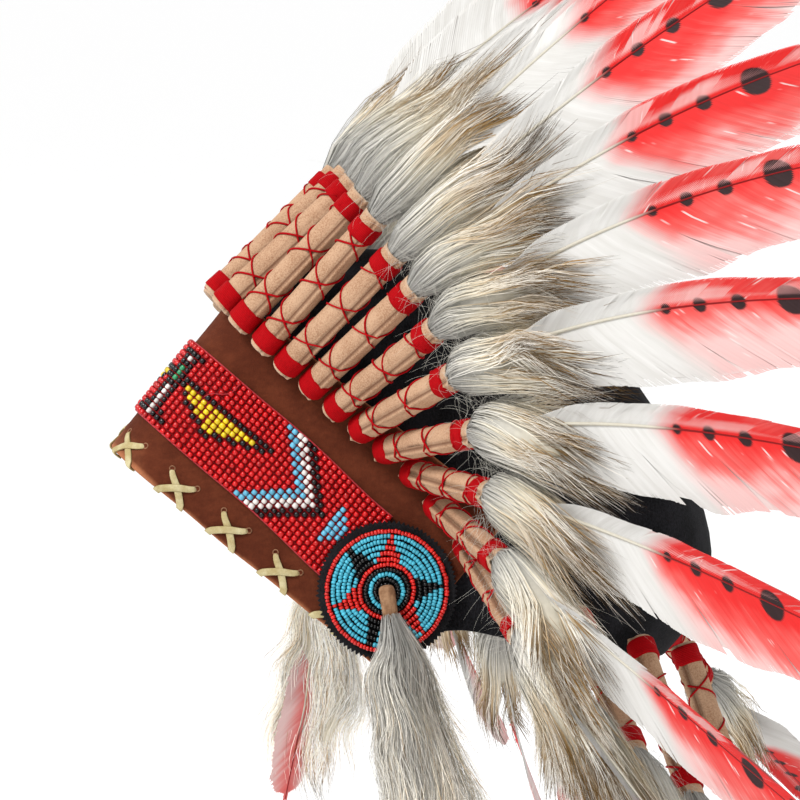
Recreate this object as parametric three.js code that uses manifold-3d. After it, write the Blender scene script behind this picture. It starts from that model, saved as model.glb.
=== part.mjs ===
// A feathered headdress: a felt crown cap, a suede headband with a loom-beaded strip, leather
// lacing and two beaded rosettes with fur drops, and a ring of plumes. Each plume is a feather
// whose quill is wrapped in a felt tube, with a fur tuft where the vane begins.
//
// Millimetres, +Z up. The origin is the middle of the head opening, level with the band's lower
// edge. The headdress is tilted back, its front towards -X, its wearer's left side towards -Y.
import * as THREE from "three";
import { mergeVertices } from "three/addons/utils/BufferGeometryUtils.js";
import Module from "manifold-3d";

const wasm = await Module();
wasm.setup();
const radians = THREE.MathUtils.degToRad;
const lerp = THREE.MathUtils.lerp;

// Driving dimensions
const TILT_BACK = 39.9; // degrees that the crown leans back from upright
const OPENING = { length: 251, frontRadius: 26, rearRadius: 64 }; // plan of the head opening
const CLEARANCE = 0.3; // between pieces that are sewn or glued together
const SMALLEST = 0.02; // slivers under this size are smoothed away where shapes are fused

const CAP = { height: 171, wall: 2, stations: 36 };
const BAND = { height: 86, wall: 2.2, reach: 160 }; // reach: forehead to either end, on the ring
const STRIP = { low: 17.5, width: 39.5, wall: 2.4, reach: 121 };
const ROSETTE = { felt: 29.7, feltWall: 1.4, beads: 26.4, beadWall: 2, bevel: 0.9, run: 139, height: 28.7 };
const LACE = { first: 13, pitch: 28.5, crosses: 5, spread: 12.5, rise: 10.5, width: 3.4, wall: 0.9 };
const TUBE = { radius: 6.2, length: 79 };
const TUFT = { length: 74, halfWidth: 13, halfDepth: 10.5, fullest: 29.6, locks: 5 };
const VANE = { length: 240, halfWidth: 20.5, aside: 0.5, thickness: 1.8, camber: 1.6, louvre: 22 };
const DROP = { length: 128, halfWidth: 23, halfDepth: 11, tipRadius: 3.6, tipMouth: 2.9, tipLength: 16 };
const DRIFT = { left: 9, right: -2 }; // degrees that each drop hangs towards the rear
const DROP_FEATHER = { length: 96, halfWidth: 12, thickness: 1.6, start: 38.4, lean: 17.25 };

// Rows of the plume ring from the forehead to the nape. along: share of half the ring's girth.
// seat: share of the band's height. splay: degrees out from the crown direction. sweep: degrees
// turned from straight outwards towards the rear. bend: how far the vane curves to the rear.
const PLUMES = [
  { name: "b", along: 0.0345, seat: 0.905, splay: 10, sweep: 110, bend: 0.3 },
  { name: "c", along: 0.07, seat: 0.885, splay: 12.4, sweep: 54, bend: 0.3 },
  { name: "d", along: 0.1055, seat: 0.875, splay: 20, sweep: 14, bend: 0.3 },
  { name: "e", along: 0.146, seat: 0.865, splay: 30, sweep: 11, bend: 0.3 },
  { name: "f", along: 0.191, seat: 0.865, splay: 38, sweep: 11, bend: 0.5 },
  { name: "g", along: 0.236, seat: 0.86, splay: 46, sweep: 13, bend: 0.55 },
  { name: "h", along: 0.281, seat: 0.86, splay: 56, sweep: 15, bend: 0.65 },
  { name: "i", along: 0.325, seat: 0.865, splay: 67, sweep: 20, bend: 0.58 },
  { name: "j", along: 0.375, seat: 0.865, splay: 79, sweep: 23, bend: 0.5 },
  { name: "k", along: 0.429, seat: 0.82, splay: 90, sweep: 26, bend: 0.6 },
  { name: "l", along: 0.495, seat: 0.765, splay: 100, sweep: 31, bend: 0.6 },
  { name: "m", along: 0.58, seat: 0.78, splay: 106, sweep: 38, bend: 0.6 },
  { name: "n", along: 0.675, seat: 0.84, splay: 112, sweep: 31, bend: 0.5 },
  { name: "o", along: 0.785, seat: 0.93, splay: 118, sweep: 7, bend: 0.5 },
];
const FRONT_PLUME = { name: "a", along: 0, seat: 0.925, splay: -9, sweep: 0, bend: 0.3 };
// The two nape plumes hang apart, so each side has a row of its own.
const NAPE_LEFT = { name: "p", along: 0.955, seat: 1.05, splay: 121, sweep: -17, bend: 0.5 };
const NAPE_RIGHT = { name: "p", along: 0.955, seat: 1.05, splay: 95, sweep: -36, bend: 0.5 };

// The dome's meridian. rise: share of the cap's height. front and rear: how far the dome has
// drawn in, as shares of the opening's length. width: share of the ring's width.
const DOME = [
  { rise: 0.0, front: 0.0, rear: 0.0, width: 1.0 },
  { rise: 0.5, front: 0.004, rear: -0.006, width: 1.0 },
  { rise: 0.62, front: 0.02, rear: -0.012, width: 0.985 },
  { rise: 0.74, front: 0.065, rear: 0.02, width: 0.93 },
  { rise: 0.85, front: 0.14, rear: 0.11, width: 0.8 },
  { rise: 0.94, front: 0.27, rear: 0.24, width: 0.54 },
  { rise: 0.985, front: 0.39, rear: 0.36, width: 0.26 },
];
// Courses of the cap from its lower edge to near its top, as shares of that height.
const CAP_COURSES = [0, 0.2, 0.42, 0.56, 0.69, 0.8, 0.89, 0.96, 0.99];
// The cap's lower edge climbs behind the headband. rise: share of the cap's height.
const CAP_EDGE = [
  { along: 0.0, rise: 0.01 },
  { along: 0.48, rise: 0.01 },
  { along: 0.557, rise: 0.2 },
  { along: 0.634, rise: 0.27 },
  { along: 0.86, rise: 0.455 },
  { along: 1.0, rise: 0.5 },
];
// Shares of a tuft's length and of its greatest half width; lock: how far tips outrun hollows.
const TUFT_ROWS = [
  { along: 0.06, swell: 0.62, lock: 0 },
  { along: 0.3, swell: 1.0, lock: 0.02 },
  { along: 0.6, swell: 0.86, lock: 0.07 },
  { along: 0.84, swell: 0.46, lock: 0.16 },
];
// Shares of the vane's length and half width, from the tuft to the tip.
const VANE_ROWS = [
  { along: 0.04, width: 0.16 },
  { along: 0.19, width: 0.38 },
  { along: 0.28, width: 0.8 },
  { along: 0.55, width: 1.0 },
  { along: 0.8, width: 0.84 },
  { along: 0.93, width: 0.52 },
  { along: 1.0, width: 0.1 },
];
// One strap of a lacing cross. across: share of half its spread. rise: share of the lacing's rise.
// It lies on the band's face, then turns under the lower edge.
const STRAP_ROWS = [
  { across: -1, rise: 1 },
  { across: 0, rise: 0.58 },
  { across: 0.8, rise: 0.16 },
];
const STRAP_TURN = { inset: 0.2, tilt: 0.5 };
// Shares of a fur drop's length and half width below its leather tip.
const DROP_ROWS = [
  { along: 0.0, width: 0.15, lock: 0 },
  { along: 0.07, width: 0.3, lock: 0 },
  { along: 0.2, width: 0.62, lock: 0.01 },
  { along: 0.45, width: 0.9, lock: 0.03 },
  { along: 0.68, width: 1.0, lock: 0.06 },
  { along: 0.86, width: 0.62, lock: 0.14 },
];

// The head's own directions in the part's frame
const FORWARD = new THREE.Vector3(-Math.cos(radians(TILT_BACK)), 0, Math.sin(radians(TILT_BACK)));
const CROWN = new THREE.Vector3(Math.sin(radians(TILT_BACK)), 0, Math.cos(radians(TILT_BACK)));
const LEFT = new THREE.Vector3(0, -1, 0);
const DOWN = new THREE.Vector3(0, 0, -1);

// The ring is an egg: a front arc, a rear arc and two straight sides that touch both.
const FRONT_CENTRE = OPENING.length / 2 - OPENING.frontRadius;
const REAR_CENTRE = OPENING.rearRadius - OPENING.length / 2;
const FLARE = Math.asin((OPENING.rearRadius - OPENING.frontRadius) / (FRONT_CENTRE - REAR_CENTRE));
const FRONT_ARC = OPENING.frontRadius * (Math.PI / 2 - FLARE);
const SIDE_RUN = (FRONT_CENTRE - REAR_CENTRE) * Math.cos(FLARE);
const REAR_ARC = OPENING.rearRadius * (Math.PI / 2 + FLARE);
const HALF_GIRTH = FRONT_ARC + SIDE_RUN + REAR_ARC;

// How far the cap's flat facets lie inside its rear arc
const FACET = (2 * HALF_GIRTH) / CAP.stations;
const FACET_SAG = FACET ** 2 / (16 * OPENING.rearRadius);

// How far out each layer of the wall begins and ends
const BAND_IN = CLEARANCE;
const BAND_OUT = BAND_IN + BAND.wall;
const STRIP_IN = BAND_OUT + CLEARANCE;
const STRIP_OUT = STRIP_IN + STRIP.wall;
const FELT_IN = STRIP_OUT + CLEARANCE;
const BEADS_IN = FELT_IN + ROSETTE.feltWall + CLEARANCE;
const ROSETTE_OUT = BEADS_IN + ROSETTE.beadWall;

// A point of the head's frame: so far forward, so far to its left side, so high.
function headPoint(forward, side, height) {
  return new THREE.Vector3()
    .addScaledVector(FORWARD, forward)
    .addScaledVector(LEFT, side)
    .addScaledVector(CROWN, height);
}

// The ring at a run from the forehead, positive along the left side, with its own directions.
function ringAt(run) {
  const side = run < 0 ? -1 : 1;
  const distance = Math.abs(run);
  let turn = distance / OPENING.frontRadius;
  let centre = FRONT_CENTRE;
  let radius = OPENING.frontRadius;
  let slide = 0;
  if (distance > FRONT_ARC) {
    turn = Math.PI / 2 - FLARE;
    slide = Math.min(distance - FRONT_ARC, SIDE_RUN);
  }
  if (distance > FRONT_ARC + SIDE_RUN) {
    turn += (distance - FRONT_ARC - SIDE_RUN) / OPENING.rearRadius;
    centre = REAR_CENTRE;
    radius = OPENING.rearRadius;
    slide = 0;
  }
  const outForward = Math.cos(turn);
  const outSide = Math.sin(turn);
  const forward = centre + radius * outForward - slide * outSide;
  const across = radius * outSide + slide * outForward;
  return {
    forward,
    across: side * across,
    outward: headPoint(outForward, side * outSide, 0),
    rearward: headPoint(-outSide, side * outForward, 0),
    at: (out, height) => headPoint(forward + out * outForward, side * (across + out * outSide), height),
  };
}

// The value of one column of a table at a place between its rows.
function read(table, key, place, column) {
  const next = table.findIndex((row) => row[key] >= place);
  if (next <= 0) return table[next < 0 ? table.length - 1 : 0][column];
  const [from, to] = [table[next - 1], table[next]];
  return lerp(from[column], to[column], (place - from[key]) / (to[key] - from[key]));
}

// The dome's surface over one station of the ring.
function domePoint(station, height) {
  const rise = height / CAP.height;
  const half = OPENING.length / 2;
  const front = half - OPENING.length * read(DOME, "rise", rise, "front");
  const rear = -half + OPENING.length * read(DOME, "rise", rise, "rear");
  const forward = lerp(rear, front, (station.forward + half) / OPENING.length);
  return headPoint(forward, station.across * read(DOME, "rise", rise, "width"), height);
}

// Signed volume of an indexed geometry, negative where its faces point inwards.
function signedVolume(positions, index) {
  let sum = 0;
  const [a, b, c] = [new THREE.Vector3(), new THREE.Vector3(), new THREE.Vector3()];
  for (let i = 0; i < index.length; i += 3) {
    a.fromArray(positions, 3 * index[i]);
    b.fromArray(positions, 3 * index[i + 1]);
    c.fromArray(positions, 3 * index[i + 2]);
    sum += a.dot(b.cross(c)) / 6;
  }
  return sum;
}

// A closed skin through loops of points, each end closed to the middle of its loop.
function skin(loops) {
  const count = loops[0].length;
  const points = loops.flat();
  const index = [];
  for (let row = 0; row + 1 < loops.length; row++) {
    for (let i = 0; i < count; i++) {
      const next = (i + 1) % count;
      const [a, b] = [row * count + i, row * count + next];
      index.push(a, b, b + count, a, b + count, a + count);
    }
  }
  for (const [row, turned] of [[0, true], [loops.length - 1, false]]) {
    const middle = points.length;
    points.push(loops[row].reduce((sum, p) => sum.add(p), new THREE.Vector3()).divideScalar(count));
    for (let i = 0; i < count; i++) {
      const [a, b] = [row * count + i, row * count + ((i + 1) % count)];
      index.push(...(turned ? [b, a, middle] : [a, b, middle]));
    }
  }
  const positions = points.flatMap((p) => p.toArray());
  if (signedVolume(positions, index) < 0) index.reverse();
  const geometry = new THREE.BufferGeometry();
  geometry.setAttribute("position", new THREE.Float32BufferAttribute(positions, 3));
  geometry.setIndex(index);
  return geometry;
}

// Closed geometries joined into one body.
function fuse(geometries) {
  const solids = geometries.map((geometry) => {
    const bare = geometry.clone();
    bare.deleteAttribute("normal");
    bare.deleteAttribute("uv");
    const merged = mergeVertices(bare, 1e-4);
    return new wasm.Manifold(
      new wasm.Mesh({
        numProp: 3,
        vertProperties: new Float32Array(merged.attributes.position.array),
        triVerts: new Uint32Array(merged.index.array),
      }),
    );
  });
  const mesh = solids.reduce((sum, solid) => sum.add(solid)).simplify(SMALLEST).getMesh();
  const geometry = new THREE.BufferGeometry();
  geometry.setAttribute("position", new THREE.BufferAttribute(mesh.vertProperties, 3));
  geometry.setIndex(new THREE.BufferAttribute(mesh.triVerts, 1));
  return geometry;
}

const group = new THREE.Group();

function place(name, geometry, color, roughness, parent = group) {
  geometry.computeVertexNormals();
  const material = new THREE.MeshStandardMaterial({ color, roughness, metalness: 0 });
  const mesh = new THREE.Mesh(geometry, material);
  mesh.name = name;
  parent.add(mesh);
  return mesh;
}

const COLORS = { felt: 0x151416, suede: 0x6e3c2a, beads: 0xc3222a, rosette: 0x5fc3dc, lace: 0xdccd96,
  wrap: 0xd7b494, fur: 0xd8cfc0 };

function makeCap() {
  const stations = Array.from({ length: CAP.stations }, (_, i) =>
    ringAt(HALF_GIRTH * ((2 * (i + 0.5)) / CAP.stations - 1)),
  );
  const edges = stations.map((_, i) => {
    const along = Math.abs((2 * (i + 0.5)) / CAP.stations - 1);
    return CAP.height * read(CAP_EDGE, "along", along, "rise");
  });
  const outer = CAP_COURSES.map((share) =>
    stations.map((station, i) => domePoint(station, lerp(edges[i], CAP.height, share))),
  );
  const count = stations.length;
  const inner = outer.map((loop, row) =>
    loop.map((point, i) => {
      if (row === 0) return point.clone().addScaledVector(stations[i].outward, -CAP.wall);
      const around = loop[(i + 1) % count].clone().sub(loop[(i + count - 1) % count]);
      const up = (outer[row + 1] ?? loop)[i].clone().sub(outer[row - 1][i]);
      const normal = around.cross(up).normalize();
      if (normal.dot(stations[i].outward) < 0) normal.negate();
      return point.clone().addScaledVector(normal, -CAP.wall);
    }),
  );
  return skin([...outer.reverse(), ...inner]);
}

// A slab that follows the ring between two runs.
function wrapSlab(reach, low, high, inner, outer, steps) {
  const loops = Array.from({ length: steps + 1 }, (_, i) => {
    const ring = ringAt(lerp(-reach, reach, i / steps));
    return [ring.at(inner, low), ring.at(outer, low), ring.at(outer, high), ring.at(inner, high)];
  });
  return skin(loops);
}

// One flat strap of a lacing cross: from its hole down over the band's edge and in under it.
function laceStrap(run, lean) {
  const face = BAND_OUT + CLEARANCE + LACE.wall / 2;
  const under = -CLEARANCE - LACE.wall / 2;
  const half = LACE.spread / 2;
  const end = run + lean * half;
  const { inset, tilt } = STRAP_TURN;
  const path = [
    ...STRAP_ROWS.map((row) => ({
      run: run + lean * half * row.across,
      out: face,
      height: LACE.rise * row.rise,
      tilt: 0,
    })),
    { run: end, out: face - inset, height: under + inset, tilt },
    { run: end, out: -CAP.wall, height: under, tilt: 1 },
  ];
  const last = path.length - 1;
  const along = path.map((step) => ringAt(step.run).at(step.out, step.height));
  return skin(
    path.map((step, i) => {
      const ring = ringAt(step.run);
      const heading = along[Math.min(i + 1, last)].clone().sub(along[Math.max(i - 1, 0)]).normalize();
      const thick = ring.outward.clone().lerp(CROWN.clone().negate(), step.tilt).normalize();
      const wide = heading.cross(thick).normalize().multiplyScalar(LACE.width / 2);
      thick.multiplyScalar(LACE.wall / 2);
      const corner = (w, t) => along[i].clone().addScaledVector(wide, w).addScaledVector(thick, t);
      return [corner(-1, -1), corner(1, -1), corner(1, 1), corner(-1, 1)];
    }),
  );
}

// Where a plume sits and which way its quill points.
function plumeFrame(row, side) {
  const run = side * row.along * HALF_GIRTH;
  const ring = ringAt(run);
  const height = row.seat * BAND.height;
  const splay = radians(row.splay);
  const sweep = radians(row.sweep);
  const heading = new THREE.Vector3()
    .addScaledVector(CROWN, Math.cos(splay))
    .addScaledVector(ring.outward, Math.sin(splay) * Math.cos(sweep))
    .addScaledVector(ring.rearward, Math.sin(splay) * Math.sin(sweep));
  const outwards = heading.dot(ring.outward);
  // The tube's end stands off far enough that its rim clears the wall, and a quill that leans
  // back clears the band's upper edge too.
  const bulge = domePoint(ring, height).sub(ring.at(0, height)).dot(ring.outward);
  const wall = Math.abs(run) < BAND.reach ? BAND_OUT : Math.max(0, bulge - FACET_SAG);
  const backLean = (Math.max(0, -outwards) * (BAND.height - height)) / heading.dot(CROWN);
  const standOff = TUBE.radius * Math.sqrt(1 - Math.min(1, outwards ** 2)) + backLean;
  return { row, side, seat: ring.at(wall + CLEARANCE + standOff, height), heading };
}

// A point of a plume's centre line past its tube: the vane is swept towards the rear.
function vanePoint(plume, distance) {
  const steps = 12;
  const point = plume.seat.clone().addScaledVector(plume.heading, TUBE.length);
  for (let i = 0; i < steps; i++) {
    const middle = (distance * (i + 0.5)) / steps;
    point.addScaledVector(vaneHeading(plume, middle), distance / steps);
  }
  return point;
}

function vaneHeading(plume, distance) {
  const pull = (plume.row.bend * distance) / VANE.length;
  return plume.heading.clone().addScaledVector(FORWARD, -pull).normalize();
}

// The direction across a plume's vane: along the fan from its neighbour in front to the one behind.
function fanDirection(before, after, heading) {
  const middle = VANE.length / 2;
  const wide = vanePoint(after, middle).sub(vanePoint(before, middle));
  return wide.addScaledVector(heading, -wide.dot(heading)).normalize();
}

// A loop of a tube or tuft round a centre, wider across the fan than through it.
function roundLoop(centre, wide, deep, halfWidth, halfDepth, heading, stagger) {
  const sides = 2 * TUFT.locks;
  return Array.from({ length: sides }, (_, i) => {
    const angle = (2 * Math.PI * i) / sides;
    const shift = i % 2 ? stagger : -stagger;
    return centre
      .clone()
      .addScaledVector(wide, halfWidth * Math.cos(angle))
      .addScaledVector(deep, halfDepth * Math.sin(angle))
      .addScaledVector(heading, shift);
  });
}

function makePlume(plume, before, after) {
  const { seat, heading } = plume;
  const flat = fanDirection(before, after, heading);
  const louvre = radians(VANE.louvre);
  const face = heading.clone().cross(flat).normalize();
  const wide = flat.clone().multiplyScalar(Math.cos(louvre)).addScaledVector(face, Math.sin(louvre));
  const deep = heading.clone().cross(wide).normalize();
  const top = seat.clone().addScaledVector(heading, TUBE.length);

  const here = vanePoint(plume, TUFT.fullest);
  const neighbours = [before, after].filter((other) => other !== plume);
  const gaps = neighbours.map((other) => vanePoint(other, TUFT.fullest).distanceTo(here));
  const room = Math.min(...gaps) / 2 - CLEARANCE;
  const halfWidth = Math.min(TUFT.halfWidth, room);

  const loops = [
    roundLoop(seat, flat, face, TUBE.radius, TUBE.radius, heading, 0),
    roundLoop(top, flat, face, TUBE.radius, TUBE.radius, heading, 0),
    ...TUFT_ROWS.map((row) => {
      const centre = vanePoint(plume, TUFT.length * row.along);
      const stagger = TUFT.length * row.lock;
      const half = halfWidth * row.swell;
      return roundLoop(centre, flat, face, half, TUFT.halfDepth * row.swell, heading, stagger);
    }),
  ];
  // The shaft lies nearer the vane's front edge, by a share of its half width.
  const aside = VANE.aside * plume.side;
  const vane = VANE_ROWS.map((row) => {
    const centre = vanePoint(plume, VANE.length * row.along);
    const half = VANE.halfWidth * row.width;
    const rise = VANE.camber * row.width;
    const thick = VANE.thickness / 2;
    return [
      centre.clone().addScaledVector(wide, half * (aside - 1)),
      centre.clone().addScaledVector(deep, rise - thick),
      centre.clone().addScaledVector(wide, half * (aside + 1)),
      centre.clone().addScaledVector(deep, rise + thick),
    ];
  });
  return fuse([skin(loops), skin(vane)]);
}

// A fur drop under its leather tip, hanging beside the rosette's face.
function makeDrop(side, drift, withFeather) {
  const ring = ringAt(side * ROSETTE.run);
  const start = ring.at(ROSETTE_OUT + CLEARANCE, ROSETTE.height);
  const hang = DOWN.clone().addScaledVector(ring.outward, -DOWN.dot(ring.outward)).normalize();
  const across = hang.clone().cross(ring.outward).normalize();
  if (across.dot(FORWARD) > 0) across.negate();
  hang.multiplyScalar(Math.cos(radians(drift))).addScaledVector(across, Math.sin(radians(drift)));
  const wide = hang.clone().cross(ring.outward).normalize();
  const centreAt = (distance, depth) =>
    start.clone().addScaledVector(hang, distance).addScaledVector(ring.outward, depth);
  const tip = [0, 1].map((share) => {
    const radius = lerp(DROP.tipMouth, DROP.tipRadius, share);
    const centre = centreAt(DROP.tipLength * share - radius, radius);
    return roundLoop(centre, wide, ring.outward, radius, radius, hang, 0);
  });
  const fur = DROP_ROWS.map((row) => {
    const depth = DROP.halfDepth * Math.sqrt(row.width);
    const centre = centreAt(DROP.tipLength / 2 + DROP.length * row.along, depth);
    const half = DROP.halfWidth * row.width;
    return roundLoop(centre, wide, ring.outward, half, depth, hang, DROP.length * row.lock);
  });
  const pieces = [skin(tip), skin(fur)];
  if (withFeather) {
    const vane = VANE_ROWS.map((row) => {
      const distance = DROP_FEATHER.start + DROP_FEATHER.length * row.along;
      const lean = -DROP_FEATHER.lean * lerp(0.3, 1, row.along);
      const centre = centreAt(distance, DROP.halfDepth).addScaledVector(across, lean);
      const half = DROP_FEATHER.halfWidth * row.width;
      const thick = DROP_FEATHER.thickness / 2;
      return [
        centre.clone().addScaledVector(wide, -half),
        centre.clone().addScaledVector(ring.outward, -thick),
        centre.clone().addScaledVector(wide, half),
        centre.clone().addScaledVector(ring.outward, thick),
      ];
    });
    pieces.push(skin(vane));
  }
  return fuse(pieces);
}

// A rosette's felt and its bead field, turned about an axis that points out of the band.
function placeRosette(side, suffix) {
  const ring = ringAt(side * ROSETTE.run);
  const mount = new THREE.Group();
  mount.position.copy(ring.at(0, ROSETTE.height));
  mount.quaternion.setFromUnitVectors(new THREE.Vector3(0, 1, 0), ring.outward);
  group.add(mount);
  const felt = [
    [0, FELT_IN],
    [ROSETTE.felt, FELT_IN],
    [ROSETTE.felt, FELT_IN + ROSETTE.feltWall],
    [0, FELT_IN + ROSETTE.feltWall],
  ];
  const beads = [
    [0, BEADS_IN],
    [ROSETTE.beads, BEADS_IN],
    [ROSETTE.beads, ROSETTE_OUT - ROSETTE.bevel],
    [ROSETTE.beads - ROSETTE.bevel, ROSETTE_OUT],
    [0, ROSETTE_OUT],
  ];
  const turn = (profile, sides) =>
    new THREE.LatheGeometry(profile.map(([x, y]) => new THREE.Vector2(x, y)), sides);
  place("rosette_felt_" + suffix, closed(turn(felt, 48)), COLORS.felt, 0.95, mount);
  place("rosette_beads_" + suffix, closed(turn(beads, 40)), COLORS.rosette, 0.25, mount);
}

// A turned profile whose seam and poles are merged into one closed skin facing out.
function closed(geometry) {
  return fuse([outwards(geometry)]);
}

function outwards(geometry) {
  const index = Array.from(geometry.index.array);
  if (signedVolume(geometry.attributes.position.array, index) < 0) index.reverse();
  geometry.setIndex(index);
  return geometry;
}

place("cap", makeCap(), COLORS.felt, 0.95);
place("headband", wrapSlab(BAND.reach, 0, BAND.height, BAND_IN, BAND_OUT, 44), COLORS.suede, 0.9);
place(
  "bead_strip",
  wrapSlab(STRIP.reach, STRIP.low, STRIP.low + STRIP.width, STRIP_IN, STRIP_OUT, 36),
  COLORS.beads,
  0.25,
);

for (const [side, suffix] of [[1, "left"], [-1, "right"]]) {
  placeRosette(side, suffix);
  place("drop_" + suffix, makeDrop(side, DRIFT[suffix], side < 0), COLORS.fur, 0.95);
  for (let i = 0; i < LACE.crosses; i++) {
    const run = side * (LACE.first + LACE.pitch * i);
    const cross = fuse([laceStrap(run, 1), laceStrap(run, -1)]);
    place("lace_" + suffix + "_" + (i + 1), cross, COLORS.lace, 0.8);
  }
}

// The plumes in order round the ring: the right side from the nape, the front one, the left side.
const ringOrder = [
  plumeFrame(NAPE_RIGHT, -1),
  ...PLUMES.map((row) => plumeFrame(row, -1)).reverse(),
  plumeFrame(FRONT_PLUME, 1),
  ...PLUMES.map((row) => plumeFrame(row, 1)),
  plumeFrame(NAPE_LEFT, 1),
];
ringOrder.forEach((plume, i) => {
  const before = ringOrder[Math.max(i - 1, 0)];
  const after = ringOrder[Math.min(i + 1, ringOrder.length - 1)];
  const where = plume.row === FRONT_PLUME ? "front" : plume.side > 0 ? "left" : "right";
  place("plume_" + plume.row.name + "_" + where, makePlume(plume, before, after), COLORS.wrap, 0.9);
});

export default group;
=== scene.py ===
# %% [markdown]
# # A feathered headdress
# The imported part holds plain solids: a felt cap, a suede band, a strip of beadwork, two rosettes,
# fur drops and thirty-one plumes. This lesson dresses them one kind of piece at a time. All sizes
# are in millimetres in the part's own frame, and turn into metres when a mesh is made.

# %% The frame
import math

import bpy
import numpy as np
from mathutils import Matrix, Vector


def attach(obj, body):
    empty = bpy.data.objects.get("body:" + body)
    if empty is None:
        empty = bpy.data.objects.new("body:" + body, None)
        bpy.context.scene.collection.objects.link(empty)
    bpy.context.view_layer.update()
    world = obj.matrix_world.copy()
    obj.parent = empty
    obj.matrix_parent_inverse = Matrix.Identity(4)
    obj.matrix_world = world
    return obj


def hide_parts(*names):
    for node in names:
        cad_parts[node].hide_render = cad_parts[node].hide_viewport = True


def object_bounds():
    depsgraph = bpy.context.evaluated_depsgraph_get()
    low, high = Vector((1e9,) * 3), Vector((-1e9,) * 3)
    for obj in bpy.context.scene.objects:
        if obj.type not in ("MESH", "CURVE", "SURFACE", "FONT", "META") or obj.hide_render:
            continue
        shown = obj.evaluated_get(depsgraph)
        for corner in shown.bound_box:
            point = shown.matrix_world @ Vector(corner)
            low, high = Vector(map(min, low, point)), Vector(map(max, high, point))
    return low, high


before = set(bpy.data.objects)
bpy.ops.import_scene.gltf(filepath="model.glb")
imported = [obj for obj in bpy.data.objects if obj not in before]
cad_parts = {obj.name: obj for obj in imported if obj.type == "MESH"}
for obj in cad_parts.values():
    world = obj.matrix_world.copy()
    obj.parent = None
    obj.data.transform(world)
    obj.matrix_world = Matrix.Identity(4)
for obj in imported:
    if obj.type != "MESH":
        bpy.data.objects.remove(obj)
cad_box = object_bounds()
chance = np.random.default_rng(11)
print("nodes in the frame:", len(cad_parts))

# %% [markdown]
# ## The ring that everything is sewn to
# The head opening is an egg made of a front arc, a rear arc and two straight sides that touch
# both. Each piece of the headdress is placed by a run along this ring, a height up the crown and
# a distance out, so one function turns those three numbers into a point.

# %% The ring
TILT = math.radians(39.9)
FORWARD = np.array((-math.cos(TILT), 0.0, math.sin(TILT)))
CROWN = np.array((math.sin(TILT), 0.0, math.cos(TILT)))
LEFT = np.array((0.0, -1.0, 0.0))
UP = np.array((0.0, 0.0, 1.0))
OPENING_LENGTH = 251.0
FRONT_RADIUS = 26.0
REAR_RADIUS = 64.0
FRONT_CENTRE = OPENING_LENGTH / 2 - FRONT_RADIUS
REAR_CENTRE = REAR_RADIUS - OPENING_LENGTH / 2
FLARE = math.asin((REAR_RADIUS - FRONT_RADIUS) / (FRONT_CENTRE - REAR_CENTRE))
FRONT_ARC = FRONT_RADIUS * (math.pi / 2 - FLARE)
SIDE_RUN = (FRONT_CENTRE - REAR_CENTRE) * math.cos(FLARE)
HALF_GIRTH = FRONT_ARC + SIDE_RUN + REAR_RADIUS * (math.pi / 2 + FLARE)


def ring_parts(run):
    """How far forward and across the ring is at a run, and the two shares of its outward way."""
    run = np.asarray(run, dtype=float)
    side = np.where(run < 0, -1.0, 1.0)
    distance = np.abs(run)
    past_side = distance > FRONT_ARC + SIDE_RUN
    turn = np.minimum(distance / FRONT_RADIUS, math.pi / 2 - FLARE)
    turn = turn + np.where(past_side, (distance - FRONT_ARC - SIDE_RUN) / REAR_RADIUS, 0)
    centre = np.where(past_side, REAR_CENTRE, FRONT_CENTRE)
    radius = np.where(past_side, REAR_RADIUS, FRONT_RADIUS)
    slide = np.where(past_side, 0, np.maximum(distance - FRONT_ARC, 0))
    out_forward, out_side = np.cos(turn), np.sin(turn)
    forward = centre + radius * out_forward - slide * out_side
    across = radius * out_side + slide * out_forward
    return forward, side * across, out_forward, side * out_side


def head_point(forward, across, height):
    """Points from their places along the head's own three directions."""
    parts = np.broadcast_arrays(forward, across, height)
    return parts[0][..., None] * FORWARD + parts[1][..., None] * LEFT + parts[2][..., None] * CROWN


def wall_point(run, out, height):
    """Points at a run on the ring, so far out from it and so high."""
    forward, across, out_forward, out_side = ring_parts(run)
    return head_point(forward + out * out_forward, across + out * out_side, height)


def outward(run):
    """The way straight out of the ring."""
    _, _, out_forward, out_side = ring_parts(run)
    return head_point(out_forward, out_side, 0.0)


def rearward(run):
    """The way along the ring, from the forehead to the nape."""
    _, _, out_forward, out_side = ring_parts(run)
    side = np.where(np.asarray(run) < 0, -1.0, 1.0)
    return head_point(-np.abs(out_side), side * out_forward, 0.0)


def unit(vectors):
    """The same directions with a length of one."""
    return vectors / np.linalg.norm(vectors, axis=-1, keepdims=True)


print("girth of the opening:", round(2 * HALF_GIRTH), "mm")

# %% [markdown]
# ## The camera
# The photograph was taken level with the wearer's left side, a little from above, with a long
# lens. Its direction is square to the band's straight side seen from above.

# %% Camera
CAMERA_DISTANCE = 1300.0
LENS = 136.05
SENSOR_WIDTH = 36.0
TARGET_RUN = 91.85
TARGET_HEIGHT = 95.6
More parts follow.
